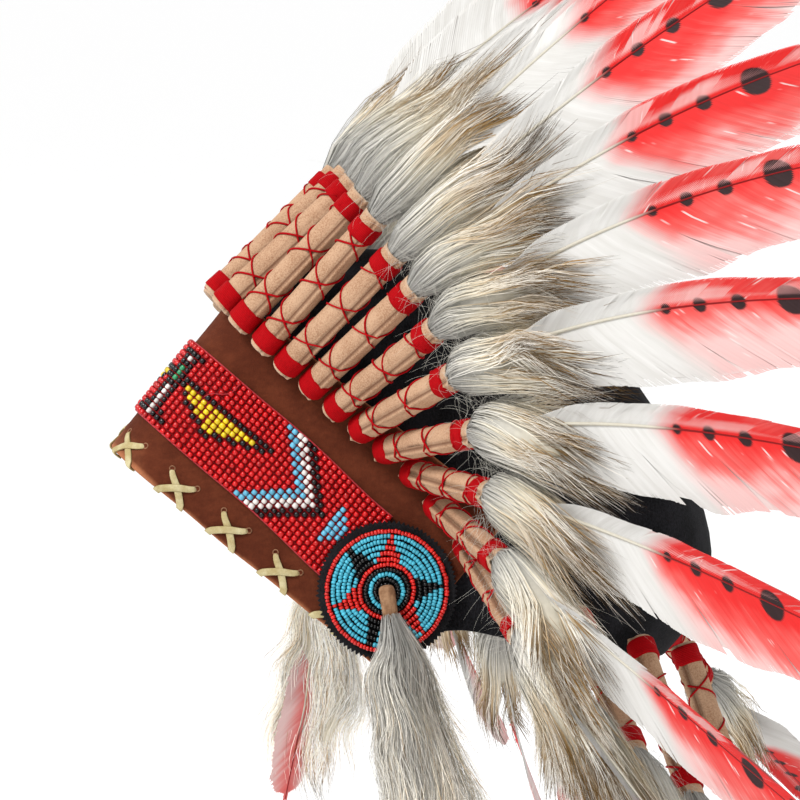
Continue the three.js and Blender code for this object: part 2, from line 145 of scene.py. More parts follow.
# In metres, far enough for the whole floor
FAR_CLIP = 200.0
towards_camera = math.sin(FLARE) * FORWARD + math.cos(FLARE) * LEFT
target = wall_point(TARGET_RUN, 0.0, TARGET_HEIGHT)
eye = target + CAMERA_DISTANCE * towards_camera
camera_right = unit(np.cross(UP, towards_camera))
camera_up = np.cross(towards_camera, camera_right)
camera = bpy.data.objects.new("camera", bpy.data.cameras.new("camera"))
turned = np.eye(4)
turned[:3, 0], turned[:3, 1], turned[:3, 2] = camera_right, camera_up, towards_camera
turned[:3, 3] = eye / 1000
camera.matrix_world = Matrix(turned.tolist())
camera.data.lens = LENS
camera.data.sensor_width = SENSOR_WIDTH
camera.data.clip_end = FAR_CLIP
bpy.context.collection.objects.link(camera)
bpy.context.scene.camera = camera
print("camera stands at", (eye / 1000).round(3).tolist())

# %% [markdown]
# ## Writing materials as sums
# A shader graph is easier to read as arithmetic. `Wire` wraps one socket and overloads the
# operators, and `Look` owns one material and adds its nodes.


# %% Materials as Python
class Wire:
    """A socket that takes part in Python arithmetic."""

    def __init__(self, look, socket):
        self.look = look
        self.socket = socket

    def maths(self, operation, first, second):
        return self.look.node("ShaderNodeMath", {"operation": operation}, {0: first, 1: second})

    def __add__(self, other):
        return self.maths("ADD", self, other)

    def __radd__(self, other):
        return self.maths("ADD", other, self)

    def __sub__(self, other):
        return self.maths("SUBTRACT", self, other)

    def __rsub__(self, other):
        return self.maths("SUBTRACT", other, self)

    def __mul__(self, other):
        return self.maths("MULTIPLY", self, other)

    def __rmul__(self, other):
        return self.maths("MULTIPLY", other, self)

    def __truediv__(self, other):
        return self.maths("DIVIDE", self, other)

    def __pow__(self, other):
        return self.maths("POWER", self, other)


# The lamps light a surface to more than its own colour, so a colour that is read from a lit
# surface is this share darker on the surface itself
UNLIT = 0.62
# The specular level of fur, leather and feather, which hardly shine
SOFT_SPECULAR = 0.18


def shade(red, green, blue):
    """A lit colour as on a screen, from 0 to 255, as the linear colour that shaders use."""
    shares = np.array((red, green, blue)) / 255
    linear = np.where(shares < 0.04045, shares / 12.92, ((shares + 0.055) / 1.055) ** 2.4)
    return (*(linear * UNLIT).tolist(), 1.0)


class Look:
    """One finish of the headdress: a material around a Principled shader."""

    def __init__(self, name, **constants):
        self.material = bpy.data.materials.new(name)
        self.material.use_nodes = True
        self.tree = self.material.node_tree
        self.shader = self.tree.nodes["Principled BSDF"]
        self.shader.inputs["Specular IOR Level"].default_value = SOFT_SPECULAR
        for socket, value in constants.items():
            self.shader.inputs[socket.replace("_", " ")].default_value = value

    def plug(self, value, socket):
        if isinstance(value, Wire):
            self.tree.links.new(value.socket, socket)
        else:
            socket.default_value = value

    def node(self, kind, settings, values, output=0):
        made = self.tree.nodes.new(kind)
        for key, setting in settings.items():
            setattr(made, key, setting)
        for key, value in values.items():
            self.plug(value, made.inputs[key])
        return Wire(self, made.outputs[output])

    def attribute(self, name, output="Fac"):
        return self.node("ShaderNodeAttribute", {"attribute_name": name}, {}, output)

    def place(self):
        return self.node("ShaderNodeTexCoord", {}, {}, "Object")

    def stretched(self, vector, scale):
        values = {0: vector, 1: scale}
        return self.node("ShaderNodeVectorMath", {"operation": "MULTIPLY"}, values)

    def joined(self, x, y, z):
        return self.node("ShaderNodeCombineXYZ", {}, {0: x, 1: y, 2: z})

    def noise(self, vector, scale, detail=2.0, roughness=0.5):
        values = {"Vector": vector, "Scale": scale, "Detail": detail, "Roughness": roughness}
        return self.node("ShaderNodeTexNoise", {}, values, "Fac")

    def step(self, value, low, high, start=0.0, end=1.0):
        """Runs smoothly from start to end while a value passes from low to high."""
        settings = {"interpolation_type": "SMOOTHSTEP"}
        return self.node("ShaderNodeMapRange", settings, {0: value, 1: low, 2: high, 3: start, 4: end})

    def mix(self, factor, first, second):
        return self.node("ShaderNodeMix", {"data_type": "RGBA"}, {0: factor, 6: first, 7: second}, 2)

    def tint(self, colour, factor):
        """A colour made lighter or darker by a factor round one."""
        values = {0: 1.0, 6: colour, 7: self.joined(factor, factor, factor)}
        return self.node("ShaderNodeMix", {"data_type": "RGBA", "blend_type": "MULTIPLY"}, values, 2)

    def bump(self, height, distance, strength=1.0):
        values = {"Height": height, "Distance": distance, "Strength": strength}
        self.feed("Normal", self.node("ShaderNodeBump", {}, values))

    def feed(self, socket, value):
        self.plug(value, self.shader.inputs[socket])

    def blend(self, value, low, high, first, second):
        """From one colour to another while a value passes from low to high."""
        return self.mix(self.step(value, low, high), first, second)


print("materials are written as sums")

# %% [markdown]
# ## Making meshes from arrays
# Beads, hairs and barbs come in thousands. Each kind is worked out as whole numpy arrays and
# gathered in a `Batch`, which becomes one joined mesh.


# %% Batches
class Batch:
    """Points and faces gathered for one piece, with a value of each name at every point."""

    def __init__(self):
        self.points = []
        self.faces = []
        self.values = {}
        self.count = 0

    def add(self, points, faces, **values):
        points = np.asarray(points, dtype=float).reshape(-1, 3)
        self.points.append(points)
        self.faces.append(np.asarray(faces, dtype=np.int64) + self.count)
        self.count += len(points)
        for name, value in values.items():
            value = np.asarray(value, dtype=float)
            if value.ndim == 0 or (value.ndim == 1 and len(value) != len(points)):
                value = np.broadcast_to(value, (len(points), *value.shape))
            self.values.setdefault(name, []).append(value.reshape(len(points), -1))

    def make(self, name, look, slot, nodes=(), smooth=True):
        """Turns the batch into an object that rides on the part and stands for its nodes."""
        points = np.concatenate(self.points) / 1000
        mesh = bpy.data.meshes.new(name)
        mesh.vertices.add(len(points))
        mesh.vertices.foreach_set("co", points.ravel())
        sizes = np.concatenate([np.full(len(rows), rows.shape[1]) for rows in self.faces])
        corners = np.concatenate([rows.ravel() for rows in self.faces])
        mesh.loops.add(len(corners))
        mesh.loops.foreach_set("vertex_index", corners)
        mesh.polygons.add(len(sizes))
        mesh.polygons.foreach_set("loop_start", np.concatenate(([0], np.cumsum(sizes)[:-1])))
        mesh.polygons.foreach_set("use_smooth", np.full(len(sizes), smooth))
        for key, rows in self.values.items():
            rows = np.concatenate(rows)
            if rows.shape[1] == 1:
                mesh.attributes.new(key, "FLOAT", "POINT").data.foreach_set("value", rows.ravel())
            else:
                full = np.column_stack((rows, np.ones(len(rows))))
                layer = mesh.attributes.new(key, "FLOAT_COLOR", "POINT")
                layer.data.foreach_set("color", full.ravel())
        mesh.update(calc_edges=True)
        mesh.validate()
        mesh.materials.append(look.material)
        piece = bpy.data.objects.new(name, mesh)
        bpy.context.collection.objects.link(piece)
        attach(piece, "root")
        if nodes:
            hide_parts(*nodes)
        print(name, "has", int(np.sum(sizes - 2)), "triangles")
        return piece


def strip_faces(rows, columns, wrap=False):
    """The quads of a grid of points, closed round each row where wrap is set."""
    row, column = np.meshgrid(np.arange(rows - 1), np.arange(columns - (not wrap)), indexing="ij")
    here = row * columns + column
    beside = row * columns + (column + 1) % columns
    return np.stack((here, beside, beside + columns, here + columns), -1).reshape(-1, 4)


def loop_value(value, rows, columns, row):
    """The value at a loop's first point, if the value is given for every point."""
    value = np.asarray(value)
    if value.ndim and len(value) == rows * columns:
        return value.reshape(rows, columns, -1)[row, 0]
    return value


def add_loops(batch, loops, **values):
    """A skin through loops of points, closed at each end by a fan to the middle of its loop."""
    loops = np.asarray(loops)
    rows, columns = loops.shape[:2]
    start = batch.count
    batch.add(loops, strip_faces(rows, columns, wrap=True), **values)
    for row, order in ((0, -1), (rows - 1, 1)):
        rim = np.arange(columns)[::order] + row * columns + start - batch.count
        fan = np.stack((rim, np.roll(rim, -1), np.zeros(columns, dtype=int)), -1)
        centre_values = {key: loop_value(value, rows, columns, row) for key, value in values.items()}
        batch.add(loops[row].mean(axis=0)[None], fan, **centre_values)


def frames_along(path):
    """Directions across a path of points that turn with it as little as they can."""
    ahead = unit(np.gradient(path, axis=0))
    side = np.zeros_like(ahead)
    start = np.cross(ahead[0], UP if abs(ahead[0] @ UP) < 0.9 else LEFT)
    side[0] = unit(start)
    for i in range(1, len(path)):
        side[i] = unit(side[i - 1] - (side[i - 1] @ ahead[i]) * ahead[i])
    return ahead, side, np.cross(ahead, side)


def add_thread(batch, path, radius, sides=5, **values):
    """A round thread along a path."""
    path = np.asarray(path, dtype=float)
    _, side, lift = frames_along(path)
    angles = circle(sides)
    radius = np.broadcast_to(radius, len(path))[:, None, None]
    loops = path[:, None] + radius * (np.cos(angles)[None, :, None] * side[:, None]
                                      + np.sin(angles)[None, :, None] * lift[:, None])
    add_loops(batch, loops, **values)


def ribbons(batch, paths, sides, widths, **values):
    """Thin strips along many paths at once: arrays of paths, ways across them and half widths."""
    count, steps = paths.shape[:2]
    pairs = np.stack((paths - sides * widths[..., None], paths + sides * widths[..., None]), 2)
    one = strip_faces(steps, 2)
    faces = (np.arange(count)[:, None, None] * steps * 2 + one[None]).reshape(-1, 4)
    doubled = {key: np.repeat(value.reshape(count * steps, -1), 2, axis=0)
               for key, value in values.items()}
    batch.add(pairs, faces, **doubled)


def table(places, shares):
    """A smooth curve through a short table of places and shares."""
    fine = np.linspace(places[0], places[-1], 241)
    level = np.interp(fine, places, shares)
    padded = np.pad(level, 9, mode="reflect", reflect_type="odd")
    soft = np.convolve(padded, np.hanning(19) / np.hanning(19).sum(), mode="valid")
    return lambda where: np.interp(where, fine, soft)


def between(rows, places):
    """Rows of a table at places between its own rows, which are numbered from nought."""
    rows = np.asarray(rows, dtype=float)
    return np.stack([np.interp(places, np.arange(len(rows)), column) for column in rows.T], -1)


def nearest_turn(angle):
    """The same angle, between half a turn back and half a turn ahead."""
    return (angle + math.pi) % (2 * math.pi) - math.pi


def circle(count):
    """Angles of so many even steps round a full turn."""
    return np.arange(count) * 2 * math.pi / count


print("batches are ready")

# %% [markdown]
# ## The felt cap
# The cap is one piece of black wool felt, blocked to a dome and cut higher at the nape. Its form
# is a stack of rings, as the part's own solid is, with more of them and one subdivision.
# Wool felt has no grain, only a fine nap with pale lint, so its finish is a dark base with two
# scales of noise, a soft sheen and a fine bump.


# %% Felt
def felt_look(name, dark, light, nap):
    """Felt: two close shades in soft patches, a fine nap, and a little sheen."""
    look = Look(name, Roughness=0.95, Sheen_Weight=0.02, Specular_IOR_Level=0.1)
    place = look.place()
    patches = look.noise(place, 90.0, 3.0)
    fibres = look.noise(look.stretched(place, (1.0, 1.0, 0.55)), nap, 4.0, 0.7)
    look.feed("Base Color", look.blend(fibres + patches * 0.6, 0.55, 1.05, dark, light))
    look.bump(fibres + patches * 0.5, 0.0007, 0.6)
    return look


cap_felt = felt_look("cap_felt", shade(13, 13, 15), shade(42, 42, 46), 1500.0)
rosette_felt = felt_look("rosette_felt", shade(17, 17, 19), shade(44, 43, 46), 1800.0)

# %% Cap
CAP_HEIGHT = 171.0
CAP_WALL = 2.0
CAP_STATIONS = 72
CAP_COURSES = (0, 0.03, 0.2, 0.42, 0.56, 0.69, 0.8, 0.89, 0.96, 0.99)
DOME_RISE = (0.0, 0.5, 0.62, 0.74, 0.85, 0.94, 0.985)
DOME_FRONT = (0.0, 0.004, 0.02, 0.065, 0.14, 0.27, 0.39)
DOME_REAR = (0.0, -0.006, -0.012, 0.02, 0.11, 0.24, 0.36)
DOME_WIDTH = (1.0, 1.0, 0.985, 0.93, 0.8, 0.54, 0.26)
EDGE_ALONG = (0.0, 0.48, 0.557, 0.634, 0.86, 1.0)
EDGE_RISE = (0.01, 0.01, 0.2, 0.27, 0.455, 0.5)
# How deep the felt's soft dents get towards the top
DENT = 0.35


def dome_point(run, height):
    """The dome over a station of the ring."""
    forward, across, _, _ = ring_parts(run)
    rise = np.asarray(height) / CAP_HEIGHT
    half = OPENING_LENGTH / 2
    front = half - OPENING_LENGTH * np.interp(rise, DOME_RISE, DOME_FRONT)
    rear = -half + OPENING_LENGTH * np.interp(rise, DOME_RISE, DOME_REAR)
    share = (forward + half) / OPENING_LENGTH
    return head_point(rear + (front - rear) * share, across * np.interp(rise, DOME_RISE, DOME_WIDTH), height)


stations = HALF_GIRTH * ((2 * np.arange(CAP_STATIONS) + 1) / CAP_STATIONS - 1)
edge = CAP_HEIGHT * np.interp(np.abs(stations) / HALF_GIRTH, EDGE_ALONG, EDGE_RISE)
courses = np.array([dome_point(stations, edge + (CAP_HEIGHT - edge) * share) for share in CAP_COURSES])
along_course = np.roll(courses, -1, axis=1) - np.roll(courses, 1, axis=1)
facing = unit(np.cross(along_course, np.gradient(courses, axis=0)))
facing *= np.sign(np.sum(facing * outward(stations), -1, keepdims=True))
facing[0] = outward(stations)
dents = np.sin(7.0 * stations / 40 + 2 * np.sin(stations / 23))[None, :, None]
outer = courses + facing * dents * np.linspace(0.0, DENT, len(CAP_COURSES))[:, None, None]
inner = courses - facing * CAP_WALL
batch = Batch()
add_loops(batch, np.concatenate((outer[::-1], inner)))
cap = batch.make("crown_cap", cap_felt, "cap_felt", ["cap"])
smoother = cap.modifiers.new("smooth", "SUBSURF")
smoother.levels = smoother.render_levels = 1

# %% [markdown]
# ## The suede band
# The band is a strip of brown suede. Its grain is a short nap that turns lighter where it is
# rubbed, above all along the cut edges and round the forehead, so the mesh carries a value that
# says how near the edge a point is, and the shader lightens the colour by it.

# %% Suede
suede = Look("suede", Roughness=0.9, Sheen_Weight=0.08, Sheen_Roughness=0.5, Specular_IOR_Level=0.1)
suede.shader.inputs["Sheen Tint"].default_value = shade(190, 120, 85)
place = suede.place()
clouds = suede.noise(place, 55.0, 4.0, 0.6)
nap = suede.noise(place, 900.0, 3.0, 0.65)
grain = suede.noise(suede.stretched(place, (1.0, 0.4, 1.6)), 260.0, 3.0)
edge_mix = suede.step(suede.attribute("edge") + (clouds - 0.5) * 0.5, 0.42, 1.0)
mottled = suede.blend(clouds + (grain - 0.5) * 0.5, 0.3, 0.75, shade(94, 43, 25), shade(114, 56, 34))
suede.feed("Base Color", suede.tint(suede.mix(edge_mix, mottled, shade(192, 122, 84)), nap * 0.4 + 0.8))
suede.bump(nap + grain * 0.8 + clouds * 1.2, 0.0006, 0.55)

# %% Band
BAND_HEIGHT = 86.0
BAND_REACH = 160.0
BAND_IN, BAND_OUT = 0.3, 2.5
STRIP_IN, STRIP_OUT = 2.8, 5.2
BAND_STEPS = 150
# The runs over which the suede is rubbed pale at the forehead and at each end
FOREHEAD_RUB, END_RUB = 30.0, 3.0
# Corners of the band's section: the share of the wall's thickness, the height above an edge, which
# edge that is, nought for the lower one, and how worn the suede is there
BAND_SECTION = (
    (0.0, 0.7, 0.0, 0.5), (0.3, 0.05, 0.0, 1.0), (0.7, 0.05, 0.0, 1.0), (1.0, 0.7, 0.0, 0.7),
    (1.0, 3.0, 0.0, 0.25), (1.0, 16.0, 0.0, 0.0), (1.0, -16.0, 1.0, 0.0), (1.0, -3.0, 1.0, 0.2),
    (1.0, -0.7, 1.0, 0.6), (0.7, -0.05, 1.0, 1.0), (0.3, -0.05, 1.0, 1.0), (0.0, -0.7, 1.0, 0.5),
)
runs = np.linspace(-BAND_REACH, BAND_REACH, BAND_STEPS)
uneven = 0.35 * np.sin(runs / 17) + 0.25 * np.sin(runs / 7.3 + 1)
forehead = np.exp(-(runs / FOREHEAD_RUB) ** 4)
ends = np.clip((np.abs(runs) - BAND_REACH + END_RUB) / END_RUB, 0, 1)
loops, wear = [], []
for share, offset, top, edge_tone in BAND_SECTION:
    height = offset + top * BAND_HEIGHT + uneven * (1 if top else 0.7)
    bulge = 0.2 * np.sin(runs / 21 + height / 13)
    loops.append(wall_point(runs, BAND_IN + share * (BAND_OUT - BAND_IN) + bulge * share, height))
    wear.append(np.clip(edge_tone + 0.4 * forehead + 0.7 * ends, 0, 1))
batch = Batch()
add_loops(batch, np.stack(loops, 1), edge=np.stack(wear, 1).ravel())
batch.make("suede_band", suede, "headband_suede", ["headband"])

# %% [markdown]
# ## Seed beads
# A seed bead is a short drawn tube with rounded ends. On a loom its hole lies across the strip.
# One small turned profile is copied to every place with numpy, with a little jitter, and each
# copy carries its own colour. Opaque glass is bright, glossy and slightly uneven in tone.

# %% Bead finish and shape
BEAD_COLOURS = {
    "red": shade(226, 16, 20), "black": shade(12, 11, 13), "white": shade(255, 248, 242),
    "turquoise": shade(112, 204, 240), "yellow": shade(255, 222, 30), "green": shade(60, 168, 112),
    "coral": shade(240, 36, 28), "sky": shade(84, 204, 232),
}
beads_look = Look("seed_beads", Roughness=0.2, IOR=1.5, Specular_IOR_Level=0.4)
glass = beads_look.attribute("tint", "Color")
flecks = beads_look.noise(beads_look.place(), 700.0, 2.0)
beads_look.feed("Base Color", beads_look.tint(glass, flecks * 0.35 + 0.82))
beads_look.feed("Roughness", flecks * 0.16 + 0.14)

# Place along the hole and radius, as shares of the bead's own, from one mouth to the other
BEAD_SIDES = 7
BEAD_PROFILE = ((-0.8, 0.42), (-1.0, 0.7), (-0.6, 0.97), (0.6, 0.97), (1.0, 0.7), (0.8, 0.42))


def add_beads(batch, centres, holes, outs, half_length, radius, colours, jitter=0.1):
    """A bead at each centre, with its hole along one way and its face out along another."""
    count = len(centres)
    centres = centres + chance.normal(0, jitter, (count, 3))
    holes = unit(holes + chance.normal(0, jitter * 0.6, (count, 3)))
    outs = unit(outs - np.sum(outs * holes, -1, keepdims=True) * holes)
    across = np.cross(holes, outs)
    size = 1 + chance.normal(0, 0.045, (count, 1, 1))
    angles = circle(BEAD_SIDES)
    profile = np.array(BEAD_PROFILE)
    along = np.repeat(profile[:, 0], BEAD_SIDES) * half_length
    aside = np.outer(profile[:, 1], np.cos(angles)).ravel() * radius
    lift = np.outer(profile[:, 1], np.sin(angles)).ravel() * radius
    shape = (along[None, :, None] * holes[:, None] + aside[None, :, None] * across[:, None]
             + lift[None, :, None] * outs[:, None])
    points = centres[:, None] + shape * size
    one = strip_faces(len(profile), BEAD_SIDES, wrap=True)
    faces = (np.arange(count)[:, None, None] * len(along) + one[None]).reshape(-1, 4)
    tone = np.clip(chance.normal(1, 0.1, (count, 1)), 0.7, 1.25)
    tints = np.array([BEAD_COLOURS[name][:3] for name in colours]) * tone
    batch.add(points, faces, tint=np.clip(np.repeat(tints, len(along), axis=0), 0, 1))


print("one bead has", (len(BEAD_PROFILE) - 1) * BEAD_SIDES * 2, "triangles")

# %% [markdown]
# ## The loom strip
# Fifteen rows of beads run round the band. The pattern is a traditional one: a bird with its
# wings spread over the forehead, a chevron and a stepped block on each side. The wing's rows and
# the bird's body are short tables, and the chevron and the block are rules.

# %% Loom strip
ROWS = 15
ROW_PITCH = 2.6
STRIP_TOP = 58.6
STRIP_REACH = 121.0
PATTERN_MIDDLE = 10.4
ARC_PITCH = 3.1
SIDE_PITCH = 2.86
LEFT_COLUMNS, RIGHT_COLUMNS = 38, 44
CHEVRON_START = 18
BLOCK_START = 32
# Each row of the wing, in columns from the bird: its first, its first and last yellow, and its last.
# The rest of it is black
WING = {5: (1, None, None, 18), 6: (1, 3, 15, 17), 7: (3, 4, 13, 15), 8: (4, 6, 11, 13), 9: (6, 8, 9, 11),
        10: (8, None, None, 9)}
# The bird's own column, and how far its black flank reaches on each side of it
BODY = {1: ("black", 2), 2: ("white", 1), 3: ("black", 1), 4: ("green", 1), 5: ("green", 1),
        6: ("green", 2), 7: ("black", 1), 8: ("white", 1), 9: ("white", 1), 10: ("white", 1),
        11: ("white", 1), 12: ("white", 2), 13: ("white", 3)}


def loom_colour(row, column):
    """The colour of one bead of the strip, by its row from the top and its column from the bird."""
    column = abs(column)
    if row in BODY:
        centre, flank = BODY[row]
        if column == 0:
            return centre
        if column <= flank:
            return "black"
    if row in WING:
        first, yellow, yellow_end, last = WING[row]
        if yellow is not None and yellow <= column <= yellow_end:
            return "yellow"
        if first <= column <= last:
            return "black"
    middle = ROWS // 2
    chevron = column - CHEVRON_START - (middle - abs(row - middle))
    if 0 <= chevron < 6:
        return ("turquoise", "turquoise", "white", "white", "black", "black")[chevron]
    block = column - BLOCK_START
    if 0 <= block < 3 and abs(row - middle) <= 3 - block:
        return "turquoise"
    return "red"


# The last columns to the left and to the right that still lie on the forehead's bend
BEND_LEFT = 3
BEND_RIGHT = -round((FRONT_ARC + PATTERN_MIDDLE) / ARC_PITCH)


def column_run(column):
    """The run of a column: the beads spread a little where the strip bends round the forehead."""
    on_bend = min(max(column, BEND_RIGHT), BEND_LEFT)
    return PATTERN_MIDDLE + ARC_PITCH * on_bend + SIDE_PITCH * (column - on_bend)


DRIFT_START, DRIFT_RUN, DRIFT_DROP = 52.0, 62.0, 3.6


def strip_drift(run):
    """The strip is sewn a little lower towards the rosettes."""
    share = np.clip((np.abs(run) - DRIFT_START) / DRIFT_RUN, 0, 1)
    return -DRIFT_DROP * share * share * (3 - 2 * share) + 0.35 * np.sin(np.asarray(run) / 11)


columns = np.arange(-RIGHT_COLUMNS, LEFT_COLUMNS + 1)
column_runs = np.array([column_run(column) for column in columns])
kept = np.abs(column_runs) <= STRIP_REACH - 1
columns, column_runs = columns[kept], column_runs[kept]
grid_rows, grid_columns = np.meshgrid(np.arange(ROWS), np.arange(len(columns)), indexing="ij")
grid_runs = column_runs[grid_columns].ravel()
grid_heights = STRIP_TOP - ROW_PITCH * (grid_rows.ravel() + 0.5) + strip_drift(grid_runs)
BEAD_MIDDLE, BEAD_HALF_LENGTH, BEAD_RADIUS = 1.35, 1.1, 1.3
centres = wall_point(grid_runs, STRIP_IN + BEAD_MIDDLE, grid_heights)
places = zip(grid_rows.ravel(), grid_columns.ravel())
colours = [loom_colour(row, columns[place]) for row, place in places]
batch = Batch()
upright = np.tile(CROWN, (len(centres), 1))
add_beads(batch, centres, upright, outward(grid_runs), BEAD_HALF_LENGTH, BEAD_RADIUS, colours)
batch.make("loom_beads", beads_look, "strip_beads")

# %% [markdown]
# Behind and between the beads lie the red warp threads. They show as fine lines along the strip,
# and as a paler, shinier line at both edges, where the thread turns.

# %% Threads of the strip
red_thread = Look("red_thread", Roughness=0.7)
twist = red_thread.noise(red_thread.place(), 1400.0, 2.0)
red_thread.feed("Base Color", red_thread.blend(twist, 0.3, 0.7, shade(120, 8, 14), shade(186, 18, 26)))
red_thread.bump(twist, 0.0003, 0.5)
edge_thread = Look("edge_thread", Roughness=0.5)
twist = edge_thread.noise(edge_thread.place(), 1100.0, 2.0)
edge_thread.feed("Base Color", edge_thread.mix(twist, shade(186, 26, 38), shade(226, 84, 92)))

runs = np.linspace(-STRIP_REACH, STRIP_REACH, 170)
drift = strip_drift(runs)
low, high = STRIP_TOP - ROWS * ROW_PITCH, STRIP_TOP
# Corners of the flat bed that the threads make behind the beads: distance out and height
BED = ((0.0, low + 0.3), (1.0, low + 0.5), (1.0, high - 0.5), (0.0, high - 0.3))
loops = [wall_point(runs, STRIP_IN + out, height + drift) for out, height in BED]
batch = Batch()
add_loops(batch, np.stack(loops, 1))
for line in range(1, ROWS):
    wander = 0.12 * np.sin(runs / 2.9 + line)
    add_thread(batch, wall_point(runs, STRIP_IN + 1.75 + wander, high - line * ROW_PITCH + drift), 0.24, 3)
batch.make("loom_warp", red_thread, "thread_red", ["bead_strip"])
batch = Batch()
for height in (low, high):
    wander = 0.18 * np.sin(runs * 2 * math.pi / SIDE_PITCH)
    add_thread(batch, wall_point(runs, STRIP_IN + 1.2 + wander, height + drift), 0.36, 5)
# A loose end of thread lies over the beads beside the wing: the run and height of its bends
LOOSE_END = ((34.5, 57.4), (34.0, 52.0), (31.5, 49.0), (28.6, 46.8), (27.2, 43.5))
stray_run, stray_height = between(LOOSE_END, np.linspace(0, len(LOOSE_END) - 1, 24)).T
stray = wall_point(stray_run, STRIP_OUT + 0.25, stray_height + strip_drift(stray_run))
add_thread(batch, stray, 0.16, 4)
batch.make("loom_edge_threads", edge_thread, "thread_red")

# %% [markdown]
# ## Leather lacing
# Pale lace crosses over the band's lower edge. Each strap is a flat strip that comes out of a punched
# hole, lies on the suede, and turns under the edge. Each hole is a ring of painted shade.

# %% Lacing
LACE_FIRST, LACE_PITCH, LACE_CROSSES = 13.0, 28.5, 5
LACE_SPREAD, LACE_RISE, LACE_WIDTH, LACE_WALL = 12.5, 10.5, 3.2, 0.8
HOLE_RADIUS = 1.15
lace_leather = Look("lace_leather", Roughness=0.75)
place = lace_leather.place()
mottle = lace_leather.noise(place, 160.0, 4.0, 0.6)
pores = lace_leather.noise(place, 1500.0, 2.0)
rim = lace_leather.step(lace_leather.attribute("edge"), 0.3, 1.0)
pale = lace_leather.blend(mottle, 0.3, 0.72, shade(196, 176, 122), shade(232, 219, 172))
pale = lace_leather.mix(rim, pale, shade(172, 150, 98))
lace_leather.feed("Base Color", lace_leather.tint(pale, pores * 0.3 + 0.85))
lace_leather.bump(pores + mottle, 0.0004, 0.5)

# Steps of a strap: across in shares of half the spread, height, distance out from the band's face,
# and how far it has turned under the edge
STRAP = ((-1.06, 10.9, -0.5, 0.0), (-0.98, 10.2, 0.35, 0.0), (-0.75, 8.9, 0.55, 0.0),
         (0.0, 6.1, 0.75, 0.0), (0.55, 3.2, 0.5, 0.0), (0.88, 1.2, 0.45, 0.0), (1.0, 0.1, 0.2, 0.5),
         (1.02, -0.55, -0.5, 1.0), (1.0, -0.6, -2.2, 1.0), (1.0, -0.5, -4.0, 1.0))
# Corners of a strap's section: shares of its half width and half thickness, and how much darker they are
STRAP_SECTION = ((-1.0, -0.5, 1.0), (-0.85, -1.0, 0.5), (0.85, -1.0, 0.5), (1.0, -0.5, 1.0), (1.0, 0.5, 1.0),
                 (0.85, 1.0, 0.35), (0.0, 1.1, 0.0), (-0.85, 1.0, 0.35), (-1.0, 0.5, 1.0))
laces = Batch()
hole_rims = Batch()
for side in (1, -1):
    for cross in range(LACE_CROSSES):
        run = side * (LACE_FIRST + LACE_PITCH * cross)
        for order, lean in enumerate((1, -1)):
            fine = np.linspace(0, len(STRAP) - 1, 26)
            share, height, off, turned = between(STRAP, fine).T
            across = run + lean * share * LACE_SPREAD / 2 + chance.normal(0, 0.15)
            # The second strap of a cross rides over the first one
            ride = 0.45 * order * np.exp(-((height - 6) / 2.6) ** 2)
            path = wall_point(across, BAND_OUT + off + ride, height)
            ahead = unit(np.gradient(path, axis=0))
            thick = unit(outward(across) * (1 - turned[:, None]) - CROWN * turned[:, None])
            wide = unit(np.cross(ahead, thick))
            narrow = np.interp(fine, (0, 3, 25), (0.62, 1.0, 1.0))[:, None]
            loops = [path + wide * narrow * w * LACE_WIDTH / 2 + thick * t * LACE_WALL / 2
                     for w, t, _ in STRAP_SECTION]
            edge_tone = np.tile([edge_mix for _, _, edge_mix in STRAP_SECTION], len(path))
            add_loops(laces, np.stack(loops, 1), edge=edge_tone)
            turn = np.linspace(0, 2 * math.pi, 13)
            hole_run = run - lean * 1.1 * LACE_SPREAD / 2 + HOLE_RADIUS * np.cos(turn)
            hole_height = LACE_RISE + 0.7 + HOLE_RADIUS * np.sin(turn)
            add_thread(hole_rims, wall_point(hole_run, BAND_OUT + 0.1, hole_height), 0.28, 5)
lace_nodes = [f"lace_{side}_{i + 1}" for side in ("left", "right") for i in range(LACE_CROSSES)]
laces.make("lacing", lace_leather, "lacing_leather", lace_nodes)
# The ring round each lace hole is dark brown, painted shade of the punched hole, flecked with pale suede
hole_shade = Look("hole_shade", Roughness=0.6)
speck = hole_shade.noise(hole_shade.place(), 900.0)
hole_shade.feed("Base Color", hole_shade.mix(speck, shade(70, 34, 22), shade(206, 150, 110)))
hole_rims.make("lace_hole_rims", hole_shade, "headband_suede")

# %% [markdown]
# ## The rosettes
# Each rosette is a disc of black felt cut with pinking shears, with eleven rings of beads sewn
# on it. Each point of the six-pointed star grows by a bead or two on each ring inwards.

# %% Rosettes
ROSETTE_RUN, ROSETTE_HEIGHT = 139.0, 28.7
FELT_IN, FELT_WALL = 5.5, 1.4
FELT_RADIUS, TOOTH_DEPTH, TEETH = 29.0, 1.3, 90
BEADS_IN = 7.2
# Each ring's bead and its radius, from the rim inwards
RING_COLOURS = (("coral", 25.6), ("sky", 23.3), ("sky", 20.95), ("sky", 18.6), ("sky", 16.25), ("sky", 13.9),
                ("coral", 11.5), ("black", 9.3), ("sky", 7.1), ("black", 5.0), ("black", 2.9))
# The clock angle of each point in degrees, and its bead
STAR = ((5, "coral"), (85, "black"), (140, "coral"), (198, "black"), (253, "coral"), (317, "black"))
RING_PITCH = 1.46
# The width of a point in beads, on the rings from the second one inwards
STAR_STEPS = (1.3, 2.4, 3.6, 5.2, 6.8)
PETIT_HALF_LENGTH, PETIT_RADIUS = 0.68, 1.05


def rosette_colour(level, colour, angle):
    """The colour of a bead by its ring, counted from the rim, and its clock angle in radians."""
    if not 1 <= level <= len(STAR_STEPS):
        return colour
    radius = RING_COLOURS[level][1]
    for point, point_colour in STAR:
        if abs(nearest_turn(angle - math.radians(point))) * radius < STAR_STEPS[level - 1] * RING_PITCH / 2:
            return point_colour
    return colour


